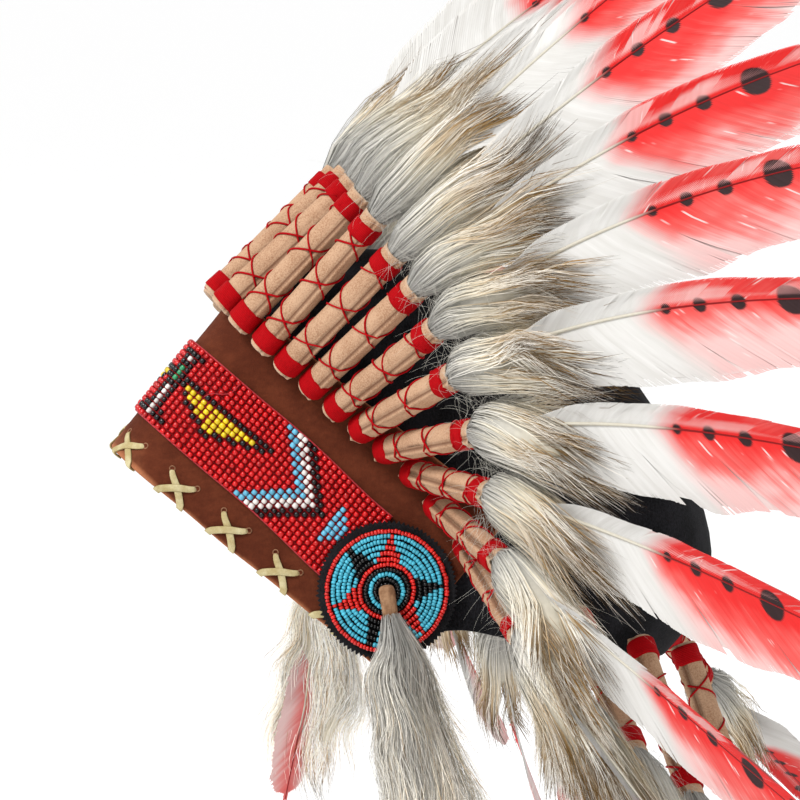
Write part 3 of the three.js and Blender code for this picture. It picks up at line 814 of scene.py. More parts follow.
for side, suffix in ((1, "left"), (-1, "right")):
    run = side * ROSETTE_RUN
    out = outward(run)
    upright = unit(UP - (UP @ out) * out)
    clockwise = np.cross(upright, out) * -side
    if clockwise @ FORWARD > 0:
        clockwise = -clockwise
    middle = wall_point(run, 0.0, ROSETTE_HEIGHT)

    def disc(radius, angle, depth):
        spread = np.cos(angle)[:, None] * upright + np.sin(angle)[:, None] * clockwise
        return middle + spread * np.asarray(radius)[..., None] + out * depth

    angle = np.arange(TEETH * 2) * math.pi / TEETH
    tooth = FELT_RADIUS + TOOTH_DEPTH * (np.arange(TEETH * 2) % 2) * (1 + chance.normal(0, 0.12, TEETH * 2))
    wave = 0.25 * np.sin(angle * 3 + side)
    back, face = FELT_IN, FELT_IN + FELT_WALL
    loops = [disc(np.full(TEETH * 2, 8.0), angle, back), disc(tooth - 0.25, angle, back),
             disc(tooth, angle, (back + face) / 2), disc(tooth - 0.2, angle, face),
             disc(np.full(TEETH * 2, 24.0), angle, face)]
    batch = Batch()
    add_loops(batch, np.array(loops))
    nodes = ["rosette_felt_" + suffix]
    batch.make("rosette_backing_" + suffix, rosette_felt, "rosette_felt", nodes, smooth=False)
    batch = Batch()
    for level, (colour, radius) in enumerate(RING_COLOURS):
        count = round(2 * math.pi * radius / RING_PITCH)
        angle = (np.arange(count) + chance.uniform()) * 2 * math.pi / count
        wobble = radius + 0.22 * np.sin(angle * 2 + level) + chance.normal(0, 0.08, count)
        places = disc(wobble, angle, BEADS_IN + 1.0)
        holes = -np.sin(angle)[:, None] * upright + np.cos(angle)[:, None] * clockwise
        tones = [rosette_colour(level, colour, a) for a in angle]
        outs = np.tile(out, (count, 1))
        add_beads(batch, places, holes, outs, PETIT_HALF_LENGTH, PETIT_RADIUS, tones, jitter=0.06)
    nodes = ["rosette_beads_" + suffix]
    batch.make("rosette_beadwork_" + suffix, beads_look, "rosette_beads", nodes)

# %% [markdown]
# ## Where each plume sits
# The plumes stand round the ring. A row says how far along the ring a plume's foot is, how high,
# how far it splays out from the crown's direction, how far that splay turns to the rear, and how
# much its vane bends back. From it come the foot, the quill's direction and the centre line.

# %% Plume rows
# Name, run as a share of half the girth, height as a share of the band's, splay and sweep in
# degrees, and bend
PLUME_ROWS = (
    ("b", 0.0345, 0.905, 10, 110, 0.3), ("c", 0.07, 0.885, 12.4, 54, 0.3), ("d", 0.1055, 0.875, 20, 14, 0.3),
    ("e", 0.146, 0.865, 30, 11, 0.3), ("f", 0.191, 0.865, 38, 11, 0.5), ("g", 0.236, 0.86, 46, 13, 0.55),
    ("h", 0.281, 0.86, 56, 15, 0.65), ("i", 0.325, 0.865, 67, 20, 0.58), ("j", 0.375, 0.865, 79, 23, 0.5),
    ("k", 0.429, 0.82, 90, 26, 0.6), ("l", 0.495, 0.765, 100, 31, 0.6), ("m", 0.58, 0.78, 106, 38, 0.6),
    ("n", 0.675, 0.84, 112, 31, 0.5), ("o", 0.785, 0.93, 118, 7, 0.5),
)
FRONT_ROW = ("a", 0, 0.925, -9, 0, 0.3)
NAPE_LEFT = ("p", 0.955, 1.05, 121, -17, 0.5)
NAPE_RIGHT = ("p", 0.955, 1.05, 95, -36, 0.5)
TUBE_RADIUS, TUBE_LENGTH = 6.2, 79.0
TUFT_LENGTH, TUFT_HALF_WIDTH, TUFT_HALF_DEPTH, TUFT_FULLEST = 74.0, 13.0, 10.5, 29.6
VANE_LENGTH, VANE_HALF_WIDTH, VANE_CAMBER = 240.0, 20.5, 1.6
# How far each vane is turned out of the fan, so that neighbours overlap as slats do
LOUVRE = math.radians(22)
# How far the shaft is from the vane's middle, as a share of its half width
SHAFT_ASIDE = 0.5
CLEARANCE = 0.3
LINE_LENGTH = 280.0
# The solid cap is flat between its stations, which leaves its wall a little inside the round one
FACET = 2 * HALF_GIRTH / 36
FACET_SAG = FACET ** 2 / (16 * REAR_RADIUS)


class Plume:
    """One plume's foot, directions and centre line."""

    def __init__(self, row, side):
        self.name, along, seat, splay, sweep, self.bend = row
        self.side = side
        run = side * along * HALF_GIRTH
        height = seat * BAND_HEIGHT
        splay, sweep = math.radians(splay), math.radians(sweep)
        out, back = outward(run), rearward(run)
        away = out * math.cos(sweep) + back * math.sin(sweep)
        self.heading = CROWN * math.cos(splay) + math.sin(splay) * away
        outwards = self.heading @ out
        bulge = (dome_point(run, height) - wall_point(run, 0.0, height)) @ out
        wall = BAND_OUT if abs(run) < BAND_REACH else max(0.0, bulge - FACET_SAG)
        lean = max(0.0, -outwards) * (BAND_HEIGHT - height) / (self.heading @ CROWN)
        stand_off = TUBE_RADIUS * math.sqrt(1 - min(1.0, outwards ** 2)) + lean
        self.seat = wall_point(run, wall + CLEARANCE + stand_off, height)
        self.out = out
        distance = np.arange(0.5, LINE_LENGTH)
        ways = unit(self.heading - FORWARD * (self.bend * distance / VANE_LENGTH)[:, None])
        top = self.seat + self.heading * TUBE_LENGTH
        self.line = np.vstack((top, top + np.cumsum(ways, axis=0)))
        self.ways = np.vstack((self.heading, ways))

    def at(self, distance):
        """Points of the centre line past the tube's top; below it the line is straight."""
        distance = np.asarray(distance, dtype=float)
        return between(self.line, distance) + np.minimum(distance, 0)[..., None] * self.heading

    def way(self, distance):
        """The directions of the centre line there."""
        return unit(between(self.ways, distance))

    def settle(self, before, after):
        """The ways across the fan and through it, and the room for the tuft."""
        middle = VANE_LENGTH / 2
        flat = after.at(middle) - before.at(middle)
        self.flat = unit(flat - (flat @ self.heading) * self.heading)
        self.face = unit(np.cross(self.heading, self.flat))
        self.wide = self.flat * math.cos(LOUVRE) + self.face * math.sin(LOUVRE)
        self.deep = unit(np.cross(self.heading, self.wide))
        gaps = [np.linalg.norm(other.at(TUFT_FULLEST) - self.at(TUFT_FULLEST))
                for other in (before, after) if other is not self]
        self.room = min(TUFT_HALF_WIDTH, min(gaps) / 2 - CLEARANCE)


right = [Plume(row, -1) for row in PLUME_ROWS][::-1]
plumes = [Plume(NAPE_RIGHT, -1), *right, Plume(FRONT_ROW, 1), *[Plume(row, 1) for row in PLUME_ROWS],
          Plume(NAPE_LEFT, 1)]
for i, plume in enumerate(plumes):
    plume.settle(plumes[max(i - 1, 0)], plumes[min(i + 1, len(plumes) - 1)])
    plume.seed = 3.7 * i
    where = "front" if plume.name == "a" else "left" if plume.side > 0 else "right"
    plume.node = f"plume_{plume.name}_{where}"
left_plumes = [plume for plume in plumes if plume.side > 0]
right_plumes = [plume for plume in plumes if plume.side < 0]
print("plumes:", len(plumes))

# %% [markdown]
# ## The wrapped quills
# Each quill is wrapped in a rectangle of beige felt whose two edges are pinched together, which
# leaves a raised seam along the tube, with painted shade darkening a fold beside it. Red thread is
# wound in a band near each end, and crosses the felt between them in two opposite spirals.

# %% Wrapped tubes
wrap_felt = Look("wrap_felt", Roughness=0.92)
place = wrap_felt.place()
patches = wrap_felt.noise(place, 90.0, 3.0)
fibres = wrap_felt.noise(place, 1500.0, 4.0, 0.75)
fluff = fibres + (patches - 0.5) * 0.4
felt_colour = wrap_felt.blend(fluff, 0.3, 0.62, shade(184, 138, 105), shade(226, 184, 149))
# Painted shade: the felt colour is darkened along the fold beside the seam
felt_colour = wrap_felt.mix(wrap_felt.attribute("fold") * 0.9, felt_colour, shade(104, 62, 42))
felt_colour = wrap_felt.mix(wrap_felt.attribute("rim") * 0.6, felt_colour, shade(240, 212, 182))
wrap_felt.feed("Base Color", felt_colour)
wrap_felt.bump(fibres + patches * 0.6, 0.0005, 0.5)
WRAP_SIDES = 24
WRAP_STEPS = 15
# The seam's height, and the angles of its own half width and of the painted shade of the fold beside it, in
# radians
SEAM_RISE, SEAM_WIDTH = 1.1, 0.15
FOLD_SHADE_TURN, FOLD_SHADE_WIDTH = 0.24, 0.1
DIP_TURN, DIP_WIDTH, DIP_DEPTH = 0.36, 0.16, 0.4
# Extra angles of the tube's mesh that give the seam its shape and the fold's painted shade its place
SEAM_TURNS = np.array((-0.25, -0.12, 0.1, 0.17, 0.27, 0.42))
# Where the two wound bands start and end
BAND_LOW, BAND_HIGH = (1.6, 10.2), (TUBE_LENGTH - 12.0, TUBE_LENGTH - 4.4)


def around(plume, turn):
    """Ways straight out of a tube: a turn of zero is across the fan, a quarter is out of its face."""
    return np.cos(turn)[..., None] * plume.flat + np.sin(turn)[..., None] * plume.face


def seam_ridge(away):
    """How far the seam stands up at an angle from its crest."""
    return SEAM_RISE * np.exp(-(away / SEAM_WIDTH) ** 2)


def add_tube(batch, plume, seam, lean):
    """The felt sleeve, with its seam at one turn, painted shade in a fold beside it, a rolled foot and a cut
    mouth.
    """
    along = np.concatenate(([0.4, 0.0, 0.5], np.linspace(1.4, TUBE_LENGTH - 1.4, WRAP_STEPS),
                            [TUBE_LENGTH - 0.2, TUBE_LENGTH, TUBE_LENGTH - 0.2, TUBE_LENGTH - 3.5]))
    shrink = np.concatenate(([0.55, 0.9, 0.98], np.ones(WRAP_STEPS), [1.0, 0.95, 0.86, 0.82]))
    rim = np.concatenate(([0.6, 1.0, 0.7], np.zeros(WRAP_STEPS), [0.8, 1.0, 0.9, 0.0]))
    even = circle(WRAP_SIDES - len(SEAM_TURNS))
    turn = np.sort(np.concatenate((even, lean * SEAM_TURNS + 0.001)))
    away = nearest_turn(turn)
    turn = turn + seam
    ridge = seam_ridge(away) - DIP_DEPTH * np.exp(-((away * lean - DIP_TURN) / DIP_WIDTH) ** 2)
    fold = np.exp(-((away * lean - FOLD_SHADE_TURN) / FOLD_SHADE_WIDTH) ** 2)
    wander = chance.uniform(0, 6.28, 2)
    soft = 0.18 * np.sin(2 * turn + wander[0]) + 0.12 * np.sin(3 * turn + wander[1])
    squeeze = np.ones(len(along))
    wave = 1 + 0.3 * np.sin(along / 6.0 + wander[0])
    for start, end in (BAND_LOW, BAND_HIGH):
        bound = np.exp(-((along - (start + end) / 2) / ((end - start) / 2 + 0.8)) ** 6)
        squeeze -= 0.05 * bound
        wave *= 1 - 0.8 * bound
    body = (TUBE_RADIUS - 0.35 + soft[None, :]) * (shrink * squeeze)[:, None]
    radius = body + ridge[None, :] * (shrink * wave)[:, None]
    centres = plume.seat + along[:, None] * plume.heading
    loops = centres[:, None] + radius[..., None] * around(plume, turn)[None]
    add_loops(batch, loops, fold=np.tile(fold, len(along)), rim=np.repeat(rim, len(turn)))


def add_winding(batch, plume, seam, start, end):
    """A band of wound thread round a tube."""
    middle = (start + end) / 2
    along = np.array([start, start, start + 0.4, start + 2.0, middle, end - 2.0, end - 0.4, end, end])
    radius = TUBE_RADIUS + np.array([-1.0, -0.15, 0.2, 0.28, 0.22, 0.27, 0.2, -0.15, -1.0])
    turn = circle(20)
    tilt = 0.4 * np.sin(turn + chance.uniform(0, 6))[None, :]
    lump = 0.35 * np.exp(-(nearest_turn(turn - seam) / 0.3) ** 2)
    radius = radius[:, None] + lump[None, :]
    centres = plume.seat + (along[:, None] + tilt)[..., None] * plume.heading
    strands = np.repeat(along, len(turn)) + np.tile(tilt.ravel(), len(along))
    add_loops(batch, centres + radius[..., None] * around(plume, turn)[None], thread=1.0, strand=strands)


# Where the spirals cross in front, as shares of the tube's length
CROSSINGS = (0.27, 0.57)
SPIRAL_START, SPIRAL_END, SPIRAL_RADIUS = 8.0, TUBE_LENGTH - 9.0, 0.47


def add_spirals(batch, plume, view_turn, seam):
    """Two opposite spirals that cross in front, where the tube is looked at from, and behind."""
    pitch = (CROSSINGS[1] - CROSSINGS[0]) * TUBE_LENGTH
    along = np.linspace(SPIRAL_START, SPIRAL_END, 56)
    shift = chance.normal(0, 1.2)
    stretch = chance.normal(1, 0.05)
    for hand in (1, -1):
        phase = (along - CROSSINGS[0] * TUBE_LENGTH - shift) / (pitch * stretch) * 2 * math.pi
        turn = view_turn + hand * phase + 0.12 * np.sin(along / 5 + hand)
        away = nearest_turn(turn - seam)
        radius = TUBE_RADIUS - 0.05 + 0.12 * (hand > 0) + 0.85 * seam_ridge(away / 1.3)
        path = plume.seat + along[:, None] * plume.heading + radius[:, None] * around(plume, turn)
        add_thread(batch, path, SPIRAL_RADIUS, 4, thread=0.0, strand=0.0)


# How far the seams lie from the line that faces the viewer, towards the tube's underside
SEAM_ASIDE = 0.62
tubes, windings = Batch(), Batch()
for plume in plumes:
    viewer = eye if plume.side > 0 else eye * np.array((1.0, -1.0, 1.0))
    sight = unit(viewer - plume.seat)
    view_turn = math.atan2(sight @ plume.face, sight @ plume.flat)
    below = -UP if abs(plume.heading @ UP) < 0.95 else plume.flat
    low_turn = math.atan2(below @ plume.face, below @ plume.flat)
    gap = nearest_turn(low_turn - view_turn)
    seam = view_turn + math.copysign(min(abs(gap), SEAM_ASIDE), gap) + chance.normal(0, 0.12)
    add_tube(tubes, plume, seam, -math.copysign(1, gap))
    for start, end in (BAND_LOW, BAND_HIGH):
        add_winding(windings, plume, seam, start, end)
    add_spirals(windings, plume, view_turn, seam)
tubes.make("quill_wraps", wrap_felt, "plume_wrap")

# %% [markdown]
# The wound thread is one finish for bands and spirals. On the bands a wave of the strands' pitch
# paints shade into the valleys between neighbouring turns, and a bump raises the turns themselves.

# %% Red thread of the quills
STRAND_PITCH = 0.75
wound_thread = Look("wound_thread", Roughness=0.7, Specular_IOR_Level=0.06)
place = wound_thread.place()
fibre = wound_thread.noise(place, 1500.0, 3.0, 0.6)
bunch = wound_thread.noise(place, 260.0, 2.0)
lit = wound_thread.step(fibre + bunch * 0.6, 0.4, 1.0)
on_band = wound_thread.mix(lit, shade(180, 2, 12), shade(208, 8, 20))
on_spiral = wound_thread.mix(lit, shade(168, 6, 14), shade(200, 14, 24))
strand = wound_thread.node("ShaderNodeMath", {"operation": "PINGPONG"},
                           {0: wound_thread.attribute("strand"), 1: STRAND_PITCH / 2}) / (STRAND_PITCH / 2)
# Painted shade in the valleys between neighbouring turns of thread
valley_shade = wound_thread.step(strand, 0.0, 0.45, 0.7, 1.0)
on_band = wound_thread.tint(on_band, valley_shade)
wound_thread.feed("Base Color", wound_thread.mix(wound_thread.attribute("thread"), on_spiral, on_band))
wound_thread.bump(fibre * 0.4 + strand, 0.0003, 0.7)
windings.make("quill_threads", wound_thread, "thread_red")

# %% [markdown]
# ## Feather vanes
# A vane is not a sheet: it is some two hundred barbs on each side of a shaft, hooked together
# and split apart here and there. Each barb is built as a thin strip that leaves the shaft at an
# angle and ends on the feather's outline. The barbs carry their place on the feather, so that the
# sprayed colour can be a rule: white below, coral above the first spot, dark spots on the shaft,
# and a paler spray towards the broad side's edge.

# %% Feather finish
# Distance of each spot from the tube's mouth, its radius and how far aside of the shaft it lies
SPOTS = ((121.0, 2.2, 0.0), (137.0, 3.0, 0.0), (154.5, 3.2, 0.2), (177.5, 5.9, 0.3), (204.0, 6.2, 0.4))
VANE_PLACES = (0.0, 0.04, 0.19, 0.28, 0.55, 0.8, 0.93, 1.0)
VANE_SHARES = (0.05, 0.16, 0.38, 0.8, 1.0, 0.84, 0.52, 0.1)
vane_width = table(VANE_PLACES, VANE_SHARES)

# The vane glows faintly in its own colour: painted light standing in for light that passes through the thin
# barbs
feather = Look("feather", Roughness=0.6, Emission_Strength=0.1)
along, across, root = feather.attribute("along"), feather.attribute("across"), feather.attribute("root")
barb, paint, seed = feather.attribute("barb"), feather.attribute("paint"), feather.attribute("seed")
broad, narrow = feather.attribute("broad"), feather.attribute("narrow")
cloud = feather.noise(feather.joined(along * 0.03, across * 0.06, seed), 1.0, 2.0)
streak = feather.noise(feather.joined(barb * 0.31, across * 0.03, seed), 1.0, 3.0, 0.65)
fine = feather.noise(feather.joined(barb * 1.9, across * 0.05, seed), 1.0, 2.0, 0.7)
start = root * 0.8 + along * 0.2 + (cloud - 0.5) * 16 + (streak - 0.5) * 9
coral_mask = feather.step(start, 102.0, 121.0)
sprayed = feather.attribute("sprayed")
faded = broad * 1.35 + narrow * 0.2 + (streak - 0.5) * 0.7 + (cloud - 0.5) * 1.1 + sprayed
coral = feather.blend(faded, 0.1, 0.8, shade(240, 42, 40), shade(246, 112, 106))
coral = feather.mix(feather.step(faded, 0.55, 1.15), coral, shade(250, 206, 202))
coral = feather.tint(coral, fine * 0.24 + 0.88)
bare = feather.noise(feather.joined(barb * 0.55, across * 0.09, seed + 7), 1.0, 2.0, 0.5)
coral = feather.mix(feather.step(bare, 0.66, 0.74) * 0.8, coral, shade(252, 232, 228))
white = feather.blend(streak, 0.2, 0.8, shade(226, 223, 217), shade(246, 244, 240))
spots = 0.0
for place_along, radius, aside in SPOTS:
    gap_along = (along - place_along) * 0.96
    gap_across = across - aside
    reach = (gap_along * gap_along + gap_across * gap_across) ** 0.5
    spots = spots + feather.step(reach + (streak - 0.5) * 0.9, radius - 0.7, radius + 0.6, 1.0, 0.0)
colour = feather.mix(coral_mask * (0.35 + paint * 0.65), white, coral)
spot_colour = feather.mix(fine, shade(14, 12, 13), shade(48, 40, 42))
colour = feather.mix(feather.step(spots, 0.0, 1.0) * (0.3 + paint * 0.68), colour, spot_colour)
feather.feed("Base Color", colour)
feather.feed("Emission Color", colour)

# %% Barbs
BARB_STEPS = 5
# How much paler the spray of some feathers is than that of most
SPRAYED = {"e": 0.05, "f": -0.1, "g": 0.15, "h": 0.3, "i": 0.1, "j": -0.05, "k": 0.05}
BARB_FIRST, BARB_LAST = 6.0, 237.0
# The distances between barbs on the near and on the far side
NEAR_GAP, FAR_GAP = 1.05, 1.4


def add_barbs(batch, plume, hand, gap):
    """One side of a vane, barb by barb. The broad side lies to the rear of the shaft."""
    wide_side = hand * plume.side > 0
    half_width = VANE_HALF_WIDTH * (1 + SHAFT_ASIDE if wide_side else 1 - SHAFT_ASIDE)
    roots = np.arange(BARB_FIRST, BARB_LAST, gap)
    count = len(roots)
    share = roots / VANE_LENGTH
    slant = np.interp(share, (0, 0.25, 0.7, 1), (0.8, 0.9, 1.15, 2.2)) * (1.0 if wide_side else 1.9)
    # A barb's end depends on the vane's width there, so it is found in a few rounds
    ends = roots.copy()
    for _ in range(5):
        ends = np.minimum(roots + half_width * vane_width(ends / VANE_LENGTH) * slant, VANE_LENGTH * 1.01)
    reach = half_width * vane_width(ends / VANE_LENGTH) * (1 - np.abs(chance.normal(0, 0.006, count)))
    wave = 0.03 * np.sin(roots / 17 + chance.uniform(0, 6))
    wave = wave + 0.02 * np.sin(roots / 6.1 + chance.uniform(0, 6))
    reach = reach * (1 + wave)
    part = np.zeros(count)
    for split in chance.uniform(70, 225, 3 if wide_side else 2):
        width = chance.uniform(1.0, 5.5) * (1.0 if wide_side else 0.5)
        past = roots - split
        part += np.where(past >= 0, width * np.exp(-past / 16), -0.5 * width * np.exp(past / 9))
    bunch = np.cumsum(chance.uniform(size=count) < 0.1)
    lift = chance.normal(0, 0.3, bunch[-1] + 1)[bunch]
    t = np.linspace(0, 1, BARB_STEPS)[None, :]
    forward = roots[:, None] + (ends - roots)[:, None] * t ** 1.15
    sideways = hand * reach[:, None] * t ** 0.93
    moved = forward + (lift + part)[:, None] * t ** 2.2
    curl = chance.normal(0, 0.3, bunch[-1] + 1)[bunch][:, None] * t ** 2
    level = VANE_CAMBER * vane_width(roots / VANE_LENGTH)[:, None] * (1 - t ** 2) + curl
    paths = plume.at(moved) + sideways[..., None] * plume.wide + level[..., None] * plume.deep
    sides = unit(plume.way(moved) + plume.deep * 0.12 * hand)
    half = gap * 0.72 * np.interp(t, (0, 0.85, 1), (1.0, 1.0, 0.6)) * np.ones((count, 1))
    ones = np.ones_like(forward)
    edge = np.clip(np.abs(sideways) / half_width, 0, 1)
    ribbons(batch, paths, sides, half, along=forward, across=sideways * plume.side, paint=ones,
            sprayed=SPRAYED.get(plume.name, 0.0) * ones, seed=plume.seed * ones,
            barb=(roots + 500 * hand)[:, None] * ones, root=roots[:, None] * ones,
            broad=edge * wide_side, narrow=edge * (not wide_side))


# How much of the spray shows on the inner face, and how pale it is there
UNDER_PAINT, UNDER_SPRAYED = 0.3, 0.25


def add_underside(batch, plume, inward):
    """The vane's inner face: a thin sheet just behind the barbs, on which the colour is paler."""
    rows = np.linspace(BARB_FIRST, VANE_LENGTH * 0.985, 56)
    columns = np.linspace(-1, 1, 9)
    half = VANE_HALF_WIDTH * vane_width(rows / VANE_LENGTH) * 0.93
    sideways = half[:, None] * (columns + SHAFT_ASIDE * plume.side)[None, :]
    level = VANE_CAMBER * vane_width(rows / VANE_LENGTH)[:, None] * (1 - columns[None, :] ** 2)
    level = level + inward * 0.5
    points = plume.at(rows)[:, None] + sideways[..., None] * plume.wide + level[..., None] * plume.deep
    forward = np.broadcast_to(rows[:, None], sideways.shape)
    root = (forward - np.abs(sideways) * 0.95).ravel()
    edge = np.clip(np.abs(sideways) / VANE_HALF_WIDTH, 0, 1).ravel()
    across = (sideways * plume.side).ravel()
    broad = across > 0
    ones = np.ones(sideways.size)
    batch.add(points, strip_faces(*sideways.shape), along=forward.ravel(), across=across,
              paint=UNDER_PAINT * ones, sprayed=UNDER_SPRAYED * ones, seed=plume.seed * ones,
              barb=root, root=root, broad=edge * broad * 0.7, narrow=edge * ~broad)


shaft_look = Look("feather_shaft", Roughness=0.4)
along = shaft_look.attribute("along")
grain = shaft_look.noise(shaft_look.place(), 500.0, 2.0)
quill_colour = shaft_look.mix(grain, shade(224, 216, 196), shade(240, 234, 218))
shaft_colour = shaft_look.mix(shaft_look.step(along, 106.0, 124.0), quill_colour, shade(150, 10, 14))
shaft_look.feed("Base Color", shaft_colour)


def add_shaft(batch, plume):
    """The tapering shaft from inside the tuft to the feather's tip."""
    places = np.linspace(-4, VANE_LENGTH - 4, 34)
    level = VANE_CAMBER * vane_width(np.clip(places, 0, VANE_LENGTH) / VANE_LENGTH)
    path = plume.at(places) + level[:, None] * plume.deep
    radius = np.interp(places, (-4, 60, 110, 130, VANE_LENGTH), (1.5, 0.9, 0.62, 0.36, 0.2))
    add_thread(batch, path, radius, 6, along=np.repeat(places, 6))


for group, plume_set in (("left", left_plumes), ("right", right_plumes)):
    vanes, shafts = Batch(), Batch()
    for plume in plume_set:
        inward = -math.copysign(1, plume.deep @ (plume.out + 0.3 * plume.side * LEFT))
        for hand in (1, -1):
            add_barbs(vanes, plume, hand, NEAR_GAP if group == "left" else FAR_GAP)
        add_underside(vanes, plume, inward)
        add_shaft(shafts, plume)
    vanes.make("feather_vanes_" + group, feather, "plume_feather", [plume.node for plume in plume_set])
    shafts.make("feather_shafts_" + group, shaft_look, "plume_feather")

# %% [markdown]
# ## Fur
# Fur is modelled as hair in locks. Every hair starts in the tube's mouth, follows the plume's
# centre line, and is drawn towards its own lock as it goes. Underfur is short and silver; guard
# hairs are longer and run from cream through tan to a dark tip.

# %% Fur finish
# The fur glows faintly in its own colour: painted light standing in for light that passes through the hairs
fur_look = Look("fur", Roughness=0.75, Specular_IOR_Level=0.12, Emission_Strength=0.07)
hair = fur_look.attribute("tint", "Color")
shimmer = fur_look.noise(fur_look.place(), 420.0, 2.0)
fur_look.feed("Base Color", fur_look.tint(hair, shimmer * 0.24 + 0.88))
fur_look.feed("Emission Color", hair)

# Light passes through hair, so a lock is lighter than a wall of the same colour
TRANSLUCENT = 1.22
SILVER, ASH, CREAM, WHITE, TAN, DARK = (np.array(shade(*tone)[:3]) * TRANSLUCENT for tone in (
    (176, 174, 168), (208, 204, 193), (240, 231, 208), (255, 251, 243), (188, 144, 78), (50, 34, 24)))


def blend_stops(t, places, colours):
    """Colours along a hair between a few stops."""
    return np.stack([np.interp(t, places, [colour[i] for colour in colours]) for i in range(3)], -1)


def hair_colours(count, steps, guard, warmth, pale):
    """Colours along each hair: silver to white in the underfur, cream to tan to dark in guard hairs."""
    t = np.linspace(0, 1, steps)
    under = blend_stops(t, (0, 0.12, 0.34, 0.6, 1), (SILVER * 0.8, SILVER, ASH, CREAM, WHITE))
    over = blend_stops(t, (0, 0.2, 0.4, 0.6, 0.75, 0.87, 1),
                       (SILVER * 0.85, ASH, CREAM, CREAM * 0.4 + TAN * 0.6, TAN * 0.6, DARK, DARK))
    mixed = np.where(guard[:, None, None], over[None], under[None])
    amber = np.clip((t - 0.42) * 2.2, 0, 1) * warmth[:, None] * np.clip(1.3 - t, 0, 1) * 1.3
    toned = mixed + (TAN - mixed) * np.clip(amber, 0, 0.9)[..., None]
    bleached = pale[:, None] * np.clip(t * 2.5, 0, 1)
    toned = toned + (WHITE - toned) * bleached[..., None]
    umber = 0.4 * np.clip(t * 2 - 1.1, 0, 1) * warmth[:, None]
    toned = toned * (1 - umber)[..., None]
    return np.clip(toned * chance.normal(1, 0.09, (count, 1, 1)), 0, 1)


# Each swirl is the way its wave runs, the way it pushes the hair, and its phase
wind = np.random.default_rng(23)
SWIRLS = [(unit(wind.normal(size=3)), unit(wind.normal(size=3)), wind.uniform(0, 6.28))
          for _ in range(7)]


def swirl(points, size):
    """A smooth drift that neighbouring hairs share: waves of about one size in mixed directions."""
    drift = np.zeros_like(points)
    for wave, push, phase in SWIRLS:
        drift += np.sin(points @ wave * (2 * math.pi / size) + phase)[..., None] * push
    return drift / math.sqrt(len(SWIRLS) / 2)


TUFT_PLACES = (-0.08, 0.0, 0.05, 0.14, 0.3, 0.6, 0.84, 1.2, 1.6)
TUFT_SHARES = (0.36, 0.46, 0.66, 0.9, 1.02, 1.04, 1.0, 0.95, 0.9)
tuft_swell = table(TUFT_PLACES, TUFT_SHARES)
# How far a tuft's longest hairs reach past the tube's mouth
TUFT_REACH = {"a": 96, "b": 98, "c": 100, "d": 100, "e": 98, "f": 96, "g": 92, "h": 88, "i": 86}
TUFT_LOCKS = 12


def tuft_sag(plume):
    """How far a tuft's tips hang below its shaft: most where the plume points up and back."""
    return 14.0 * math.sqrt(max(0.0, 1 - (plume.heading @ UP) ** 2)) + 2.0


def add_tuft(batch, plume, count, thick, steps, inside, outside):
    """Hairs of the tuft at the top of a tube, from one share of its depth to another."""
    turn = chance.uniform(0, 2 * math.pi, count)
    depth = chance.uniform(inside ** 2, outside ** 2, count) ** 0.5
    lock_turn = (np.arange(TUFT_LOCKS) + chance.uniform(0, 0.9, TUFT_LOCKS)) * 2 * math.pi / TUFT_LOCKS
    lock = np.argmin(np.abs(nearest_turn(turn[:, None] - lock_turn[None])), axis=1)
    guard = chance.uniform(size=count) < 0.3
    start = chance.uniform(-3, 1, count) + chance.uniform(size=count) ** 1.5 * 30 * (1.05 - depth)
    longest = TUFT_REACH.get(plume.name, 84)
    length = longest * 0.84 + chance.normal(0, 7, TUFT_LOCKS)[lock] + chance.normal(0, 7, count) + guard * 9
    length = np.clip(length - start * 0.5, 30, longest * 1.12)
    t = np.linspace(0, 1, steps)[None, :]
    distance = start[:, None] + length[:, None] * t
    share = np.clip(distance / TUFT_LENGTH, -0.08, 1.6)
    own = np.stack((depth * np.cos(turn), depth * np.sin(turn)), -1)
    shared = np.stack((0.85 * np.cos(lock_turn), 0.85 * np.sin(lock_turn)), -1)[lock]
    draw = np.clip((t - 0.3) / 0.7, 0, 1) ** 1.5 * 0.5
    offset = own[:, None] + (shared - own)[:, None] * draw[..., None]
    room = np.array((plume.room, TUFT_HALF_DEPTH)) * 1.06
    sweep = chance.normal(0, 4.2, (TUFT_LOCKS, 2))[lock][:, None] * (t ** 1.7)[..., None]
    stray = chance.normal(0, 2.2, (count, 1, 2)) * (t ** 2)[..., None]
    offset = offset * tuft_swell(share)[..., None] * room + sweep + stray
    paths = plume.at(distance) + offset[..., :1] * plume.flat + offset[..., 1:] * plume.face
    loose = np.clip(share, 0, 1.2)[..., None]
    paths = paths + swirl(paths, 46.0) * 3.0 * loose ** 1.3 + swirl(paths, 17.0) * 0.9 * loose
    hang = tuft_sag(plume) * (1 + chance.normal(0, 0.25, TUFT_LOCKS))[lock]
    paths = paths - UP * (hang[:, None] * np.clip(share, 0, 1.3) ** 1.6)[..., None]
    radial = unit(own[:, :1] * plume.flat + own[:, 1:] * plume.face)
    tangent = unit(np.cross(unit(np.gradient(paths, axis=1)), radial[:, None]))
    sides = unit(tangent + chance.normal(0, 0.3, (count, 1, 1)) * radial[:, None])
    widths = thick * np.interp(t, (0, 0.75, 1), (1.0, 0.85, 0.15)) * np.ones((count, 1))
    warmth = np.clip(chance.normal(0.3, 0.55, TUFT_LOCKS), 0, 1)[lock]
    pale = np.clip(chance.normal(0.25, 0.35, TUFT_LOCKS), 0, 0.8)[lock] * (1 - warmth) * ~guard
    ribbons(batch, paths, sides, widths, tint=hair_colours(count, steps, guard, warmth, pale))


CORE_SIDES = 10


def tuft_round(plume, turn):
    """Points round a tuft at its fullest, from its middle."""
    return (np.cos(turn)[:, None] * plume.room * plume.flat
            + np.sin(turn)[:, None] * TUFT_HALF_DEPTH * plume.face)


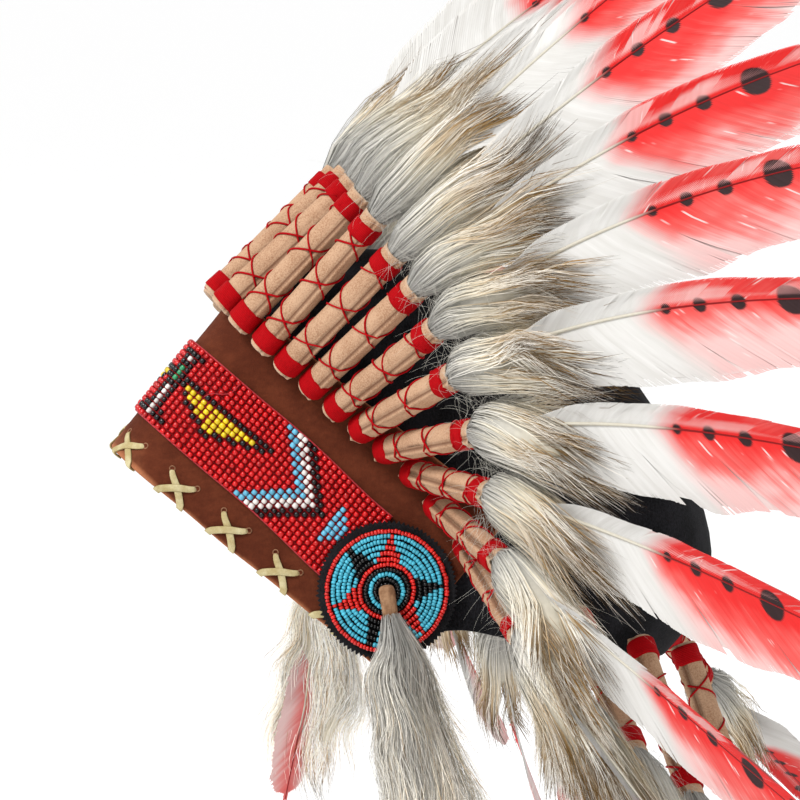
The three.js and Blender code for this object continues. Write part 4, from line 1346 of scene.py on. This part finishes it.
def add_core(batch, plume):
    """A soft body inside the tuft, so that no light passes between its hairs."""
    places = np.array([-2.0, 1, 5, 12, 22, 34, 46, 58])
    swell = tuft_swell(places / TUFT_LENGTH) * np.array([0.7, 0.8, 0.84, 0.86, 0.84, 0.78, 0.56, 0.14])
    loops = plume.at(places)[:, None] + swell[:, None, None] * tuft_round(plume, circle(CORE_SIDES))[None]
    loops = loops - UP * (tuft_sag(plume) * np.clip(places / TUFT_LENGTH, 0, 1) ** 1.6)[:, None, None]
    # The core has the hairs' own colours, darkened as painted shade of the tuft's inside
    shades = blend_stops(places, (0, 10, 30, 58), (SILVER * 0.6, SILVER * 0.8, ASH * 0.85, CREAM * 0.85))
    add_loops(batch, loops, tint=np.repeat(shades, CORE_SIDES, axis=0))


# The near tufts have an underfur and a longer coat over it, and the far ones a single coarser coat
UNDERFUR = {"count": 420, "thick": 0.22, "steps": 5, "inside": 0.1, "outside": 0.62}
NEAR_COAT = {"count": 900, "thick": 0.16, "steps": 8, "inside": 0.5, "outside": 1.0}
FAR_COAT = {"count": 560, "thick": 0.28, "steps": 7, "inside": 0.3, "outside": 1.0}
FUR_GROUPS = (("front", left_plumes[:8], (UNDERFUR, NEAR_COAT)),
              ("side", left_plumes[8:], (UNDERFUR, NEAR_COAT)), ("far", right_plumes, (FAR_COAT,)))
for group, plume_set, coats in FUR_GROUPS:
    furs = Batch()
    for plume in plume_set:
        add_core(furs, plume)
        for coat in coats:
            add_tuft(furs, plume, **coat)
    furs.make("tuft_fur_" + group, fur_look, "plume_fur")

# %% [markdown]
# Fine loose hairs stand off the near side's tufts, all but the first two. They curl over the tubes
# and the black cap, where each one shows as a thin pale line.

# %% Loose hairs
LOOSE_COUNT, LOOSE_STEPS, LOOSE_HALF_WIDTH = 150, 10, 0.036
loose_hairs = Batch()
for plume in left_plumes[2:]:
    count = LOOSE_COUNT
    turn = chance.uniform(0, 2 * math.pi, count)
    start = chance.uniform(0, 1, count) ** 1.8 * 46
    length = chance.uniform(12, 44, count)
    t = np.linspace(0, 1, LOOSE_STEPS)[None, :]
    radial = tuft_round(plume, turn)
    ahead = chance.uniform(-0.3, 1.0, count)
    paths = plume.at(start)[:, None] + radial[:, None] * 0.8
    paths = paths + unit(radial)[:, None] * (t * chance.uniform(2, 14, (count, 1)))[..., None]
    paths = paths + plume.heading * (ahead[:, None] * length[:, None] * t)[..., None]
    curl = swirl(paths + chance.normal(0, 40, (count, 1, 3)), 38.0)
    paths = paths + curl * 9.0 * t[..., None] - UP * (6 * t ** 2)[..., None]
    sides = unit(np.cross(unit(np.gradient(paths, axis=1)), unit(eye - paths)))
    widths = LOOSE_HALF_WIDTH * np.interp(t, (0, 0.7, 1), (1.0, 0.9, 0.3)) * np.ones((count, 1))
    tints = np.broadcast_to((ASH * 0.9)[None, None], (*paths.shape[:2], 3))
    ribbons(loose_hairs, paths, sides, widths, tint=tints)
loose_hairs.make("loose_hairs", fur_look, "plume_fur")

# %% [markdown]
# ## The fur drops
# A long tail of fur hangs from each rosette's centre under a tan leather tip. The near one is grey
# in its upper middle, white towards the front and tan towards the rear; the far one is white to tan.

# %% Leather tips
DROP_LENGTH, DROP_HALF_WIDTH, DROP_HALF_DEPTH = 128.0, 23.0, 11.0
TIP_LENGTH, TIP_RADIUS, TIP_MOUTH = 16.0, 3.6, 2.9
TIP_PLACES = np.array([0, 0.02, 0.08, 0.2, 0.45, 0.75, 0.96, 1.0])
TIP_SHARES = np.array([0.3, 0.66, 0.88, 0.98, 0.95, 0.92, 1.0, 0.8])
ROSETTE_OUT = 9.2
drop_leather = Look("drop_leather", Roughness=0.8)
mottle = drop_leather.noise(drop_leather.place(), 300.0, 4.0, 0.6)
hide = drop_leather.blend(mottle, 0.3, 0.7, shade(138, 98, 68), shade(190, 148, 112))
drop_leather.feed("Base Color", hide)
drop_leather.bump(mottle, 0.0006, 0.7)


class Drop:
    """One drop's root and directions: down its length, across it and out from the rosette."""

    def __init__(self, side, drift_angle):
        run = side * ROSETTE_RUN
        self.out = outward(run)
        hang = unit(-UP + (UP @ self.out) * self.out)
        self.across = unit(np.cross(hang, self.out))
        if self.across @ FORWARD > 0:
            self.across = -self.across
        drift = math.radians(drift_angle)
        self.hang = hang * math.cos(drift) + self.across * math.sin(drift)
        self.wide = unit(np.cross(self.hang, self.out))
        self.root = wall_point(run, ROSETTE_OUT + CLEARANCE, ROSETTE_HEIGHT)


def add_tip(batch, drop):
    """The rolled leather tip that holds the fur."""
    turn = circle(14)
    middle = drop.root + (TIP_PLACES * TIP_LENGTH - TIP_MOUTH)[:, None] * drop.hang + TIP_RADIUS * drop.out
    rounds = np.cos(turn)[:, None] * drop.wide + np.sin(turn)[:, None] * drop.out * 0.85
    add_loops(batch, middle[:, None] + (TIP_SHARES * TIP_RADIUS)[:, None, None] * rounds[None])


# %% [markdown]
# The drop's hairs start all along its length, each from its own place in the drop's section. They
# gather into locks, swirl with their neighbours, and tangle a little each on its own.

# %% Hair of the drops
drop_swell = table((0.0, 0.07, 0.2, 0.45, 0.68, 0.86, 1.1), (0.15, 0.34, 0.68, 0.95, 1.02, 0.9, 0.6))
DROP_HAIRS, DROP_STEPS, DROP_LOCKS = 4300, 9, 26
CORE_PLACES = np.array([8.0, 14, 24, 44, 66, 86, 104])
CORE_SHARES = np.array([0.7, 0.7, 0.7, 0.7, 0.7, 0.6, 0.25])


def hair_paths(drop, own, lock_place, lock, start, length):
    """Where the hairs of a drop run, and how far down it they are, as a share of its length."""
    count = len(own)
    t = np.linspace(0, 1, DROP_STEPS)[None, :]
    distance = start[:, None] + length[:, None] * t
    share = np.clip((distance - TIP_LENGTH / 2) / DROP_LENGTH, 0, 1.1)
    swell = drop_swell(share)
    draw = np.clip((t - 0.1) / 0.9, 0, 1)[..., None] ** 1.2 * 0.55
    offset = own[:, None] + (lock_place[lock] - own)[:, None] * draw
    size = np.stack((DROP_HALF_WIDTH * swell, DROP_HALF_DEPTH * np.sqrt(swell)), -1)
    sweep = chance.normal(0, 4.6, (DROP_LOCKS, 2))[lock][:, None] * (t ** 1.6)[..., None]
    stray = chance.normal(0, 4.4, (count, 1, 2)) * (t ** 1.6)[..., None]
    tangle = chance.uniform(0, 6.28, (count, 1, 2)) + (t * chance.uniform(2, 6, (count, 1)))[..., None]
    stray = stray + 1.2 * np.sin(tangle) * t[..., None]
    offset = offset * size * (1 + 0.12 * t ** 2)[..., None] + sweep + stray
    # No hair goes back through the rosette
    depth = np.maximum(offset[..., 1:] + DROP_HALF_DEPTH * np.sqrt(swell)[..., None], 0.6)
    paths = drop.root + distance[..., None] * drop.hang + offset[..., :1] * drop.wide + depth * drop.out
    freed = np.clip(share * 2.5, 0, 1)[..., None]
    drift = (swirl(paths, 64.0) * 4.0 + swirl(paths, 30.0) * 2.2) * freed
    return paths + drift - np.minimum(drift @ drop.out, 0)[..., None] * drop.out


def add_drop_hair(batch, drop, whiteness, smoky, painted_light_lift):
    """The drop's hairs with their colours, raised by a factor as painted light. Smoke is the grey of the
    near drop's upper middle.
    """
    count = DROP_HAIRS
    turn = chance.uniform(0, 2 * math.pi, count)
    depth = chance.uniform(0.05, 1, count) ** 0.5
    own = np.stack((depth * np.cos(turn), depth * np.sin(turn)), -1)
    lock_turn = chance.uniform(0, 2 * math.pi, DROP_LOCKS)
    lock_depth = chance.uniform(0.3, 1.0, DROP_LOCKS)
    lock_place = np.stack((lock_depth * np.cos(lock_turn), lock_depth * np.sin(lock_turn)), -1)
    lock = np.argmin(np.linalg.norm(own[:, None] - lock_place[None], axis=-1), axis=1)
    guard = chance.uniform(size=count) < 0.22
    start = 9 + chance.uniform(0, 1, count) ** 1.15 * 82
    length = np.minimum(42 + chance.normal(0, 9, count) + guard * 8, DROP_LENGTH + 11 - start)
    paths = hair_paths(drop, own, lock_place, lock, start, length)
    radial = unit(own[:, :1] * drop.wide + own[:, 1:] * drop.out)
    tangent = unit(np.cross(unit(np.gradient(paths, axis=1)), radial[:, None]))
    sides = unit(tangent + chance.normal(0, 0.4, (count, 1, 1)) * radial[:, None])
    t = np.linspace(0, 1, DROP_STEPS)[None, :]
    widths = np.interp(t, (0, 0.5, 1), (0.14, 0.12, 0.03)) * np.ones((count, 1))
    ahead = lock_place[:, 0]
    warmth = np.clip(chance.normal(0.2, 0.25, DROP_LOCKS) - 0.35 * ahead, 0, 1)[lock]
    pale = np.clip(chance.normal(whiteness, 0.25, DROP_LOCKS) + 0.5 * ahead, 0, 1)[lock] * ~guard
    colours = hair_colours(count, DROP_STEPS, guard, warmth, pale)
    patches = swirl(paths[:, 2], 30.0)[:, 0] * 0.5
    smoke = 1.15 - np.abs(start - 28) / 42 - 0.8 * np.abs(own[:, 0] - 0.05) + patches
    smoke = np.clip(smoke, 0, 0.8)[:, None, None] * smoky
    colours = (colours * (1 - smoke) + SILVER * 0.5 * smoke) * painted_light_lift
    ribbons(batch, paths, sides, widths, tint=np.clip(colours, 0, 1))


def add_drop_core(batch, drop, tint):
    """A soft body inside the drop."""
    turn = circle(12)
    swell = drop_swell((CORE_PLACES - TIP_LENGTH / 2) / DROP_LENGTH) * CORE_SHARES
    middle = drop.root + CORE_PLACES[:, None] * drop.hang
    middle = middle + (DROP_HALF_DEPTH * np.sqrt(swell))[:, None] * drop.out
    rounds = (np.cos(turn) * DROP_HALF_WIDTH)[:, None] * drop.wide
    rounds = rounds + (np.sin(turn) * DROP_HALF_DEPTH * 0.7)[:, None] * drop.out
    add_loops(batch, middle[:, None] + swell[:, None, None] * rounds[None], tint=tint)


# %% Both drops
near_drop, far_drop = Drop(1, 9), Drop(-1, -2)
tips = Batch()
# Each drop with its core's colour, darker as painted shade inside it, its share of white, its share of
# smoke, and how far painted light raises its hair colours
DROP_ROWS = ((near_drop, "left", SILVER * 0.8, 0.35, 1.0, 1.26),
             (far_drop, "right", CREAM * 0.95, 0.95, 0.1, 1.45))
for drop, suffix, core_tint, whiteness, smoky, painted_light_lift in DROP_ROWS:
    add_tip(tips, drop)
    furs = Batch()
    add_drop_core(furs, drop, core_tint)
    add_drop_hair(furs, drop, whiteness, smoky, painted_light_lift)
    furs.make("drop_hair_" + suffix, fur_look, "drop_fur", ["drop_" + suffix])
tips.make("drop_tips", drop_leather, "drop_tip")

# %% [markdown]
# The far drop carries one small feather on its front side. It is made as the large vanes are, from
# barbs on both sides of a shaft, and takes the same finish well past its spots, so that it is
# coral all over and pinker at its edges.

# %% The drop's feather
SMALL_LENGTH, SMALL_HALF_WIDTH, SMALL_START, SMALL_LEAN, SMALL_DEPTH = 96.0, 12.0, 38.4, 17.25, 1.0
# How much deeper in the fur its top lies, over which run, and how much its rear edge turns in
HIDDEN_DEPTH, HIDDEN_RUN, TURNED_DEPTH = 9.0, 45.0, 4.0
# Where on a large feather the small one takes its colour from
SMALL_PAINT_START, SMALL_PAINT_RUN = 216.0, 20.0
SMALL_FIRST, SMALL_LAST, SMALL_GAP = 3.0, 92.0, 0.8


def small_point(along, aside):
    """Points of the small feather, by their distances along its shaft and aside of it."""
    lean = -SMALL_LEAN * (0.3 + 0.7 * along / SMALL_LENGTH)
    flat = far_drop.root + (SMALL_START + along)[..., None] * far_drop.hang
    flat = flat + (lean + aside)[..., None] * far_drop.across
    depth = SMALL_DEPTH + HIDDEN_DEPTH * np.clip(1 - along / HIDDEN_RUN, 0, 1)
    depth = depth + TURNED_DEPTH * np.clip(aside / SMALL_HALF_WIDTH, 0, 1)
    return flat + depth[..., None] * far_drop.out


small_vane, small_shaft = Batch(), Batch()
t = np.linspace(0, 1, BARB_STEPS)[None, :]
for hand in (1, -1):
    roots = np.arange(SMALL_FIRST, SMALL_LAST, SMALL_GAP)
    reach = SMALL_HALF_WIDTH * vane_width(np.minimum(roots + 8, SMALL_LENGTH) / SMALL_LENGTH)
    reach = reach * chance.normal(1, 0.04, len(roots))
    forward = np.minimum(roots[:, None] + reach[:, None] * 1.05 * t ** 1.1, SMALL_LENGTH)
    aside = hand * reach[:, None] * t ** 0.95
    paths = small_point(forward, aside)
    sides = np.broadcast_to(far_drop.hang + 0.1 * hand * far_drop.out, paths.shape)
    widths = 0.62 * np.interp(t, (0, 0.85, 1), (1.0, 1.0, 0.5)) * np.ones((len(roots), 1))
    ones = np.ones_like(forward)
    painted = SMALL_PAINT_START + forward / SMALL_LENGTH * SMALL_PAINT_RUN
    # The small feather's spray is paler than on the large vanes: partly its own pinker colour, partly
    # painted light against the shade it hangs in
    ribbons(small_vane, paths, unit(sides), widths, along=painted, across=40.0 * ones, paint=0.8 * ones,
            barb=roots[:, None] * ones, root=150.0 * ones, seed=5.0 * ones,
            broad=np.abs(aside) / SMALL_HALF_WIDTH * 0.6, narrow=0.0 * ones, sprayed=0.6 * ones)
small_vane.make("drop_feather_vane", feather, "plume_feather")
places = np.linspace(-6.0, SMALL_LAST, 16)
radius = np.interp(places, (-6.0, SMALL_LAST), (0.7, 0.25))
path = small_point(places, np.zeros(len(places)))
add_thread(small_shaft, path, radius, 6, along=np.repeat(places + 60.0, 6))
small_shaft.make("drop_feather_shaft", shaft_look, "plume_feather")

# %% [markdown]
# ## Floor and light
# A studio photograph of a light object on white: a wide white floor that glows a little, so that it
# doesn't grey under the object, one soft key light from above and in front, and a bright surround.

# %% Stage
# In metres. The floor reaches so far that its edge never shows as a line
FLOOR_DROP = 0.012
FLOOR_REACH = 60.0
WHITE_PAPER = (1.0, 1.0, 1.0, 1.0)
floor_level = cad_box[0][2] - FLOOR_DROP
corners = [(x * FLOOR_REACH, y * FLOOR_REACH, floor_level) for x, y in ((-1, -1), (1, -1), (1, 1), (-1, 1))]
floor_mesh = bpy.data.meshes.new("floor")
floor_mesh.from_pydata(corners, [], [(0, 1, 2, 3)])
floor = bpy.data.objects.new("floor", floor_mesh)
bpy.context.collection.objects.link(floor)
paper = Look("paper", Roughness=0.95, Emission_Strength=0.12)
grain = paper.noise(paper.place(), 60.0)
paper.feed("Base Color", paper.mix(grain, (0.95, 0.95, 0.95, 1.0), (0.99, 0.99, 0.99, 1.0)))
paper.shader.inputs["Emission Color"].default_value = WHITE_PAPER
floor.data.materials.append(paper.material)

world = bpy.data.worlds.new("surround")
world.use_nodes = True
surround = world.node_tree.nodes["Background"]
surround.inputs["Color"].default_value = WHITE_PAPER
surround.inputs["Strength"].default_value = 0.9
bpy.context.scene.world = world


def soft_light(name, offset, size, power):
    """A square area light at an offset from the middle of the view, turned towards it."""
    lamp = bpy.data.lights.new(name, "AREA")
    lamp.size = size
    lamp.energy = power
    holder = bpy.data.objects.new(name, lamp)
    away = unit(np.array(offset))
    side = unit(np.cross(UP, away))
    turned = np.eye(4)
    turned[:3, 0], turned[:3, 1], turned[:3, 2] = side, np.cross(away, side), away
    turned[:3, 3] = target / 1000 + np.array(offset)
    holder.matrix_world = Matrix(turned.tolist())
    bpy.context.collection.objects.link(holder)


soft_light("key", (-1.15, -0.75, 1.45), 0.55, 36.0)
bpy.context.scene.view_settings.view_transform = "Standard"
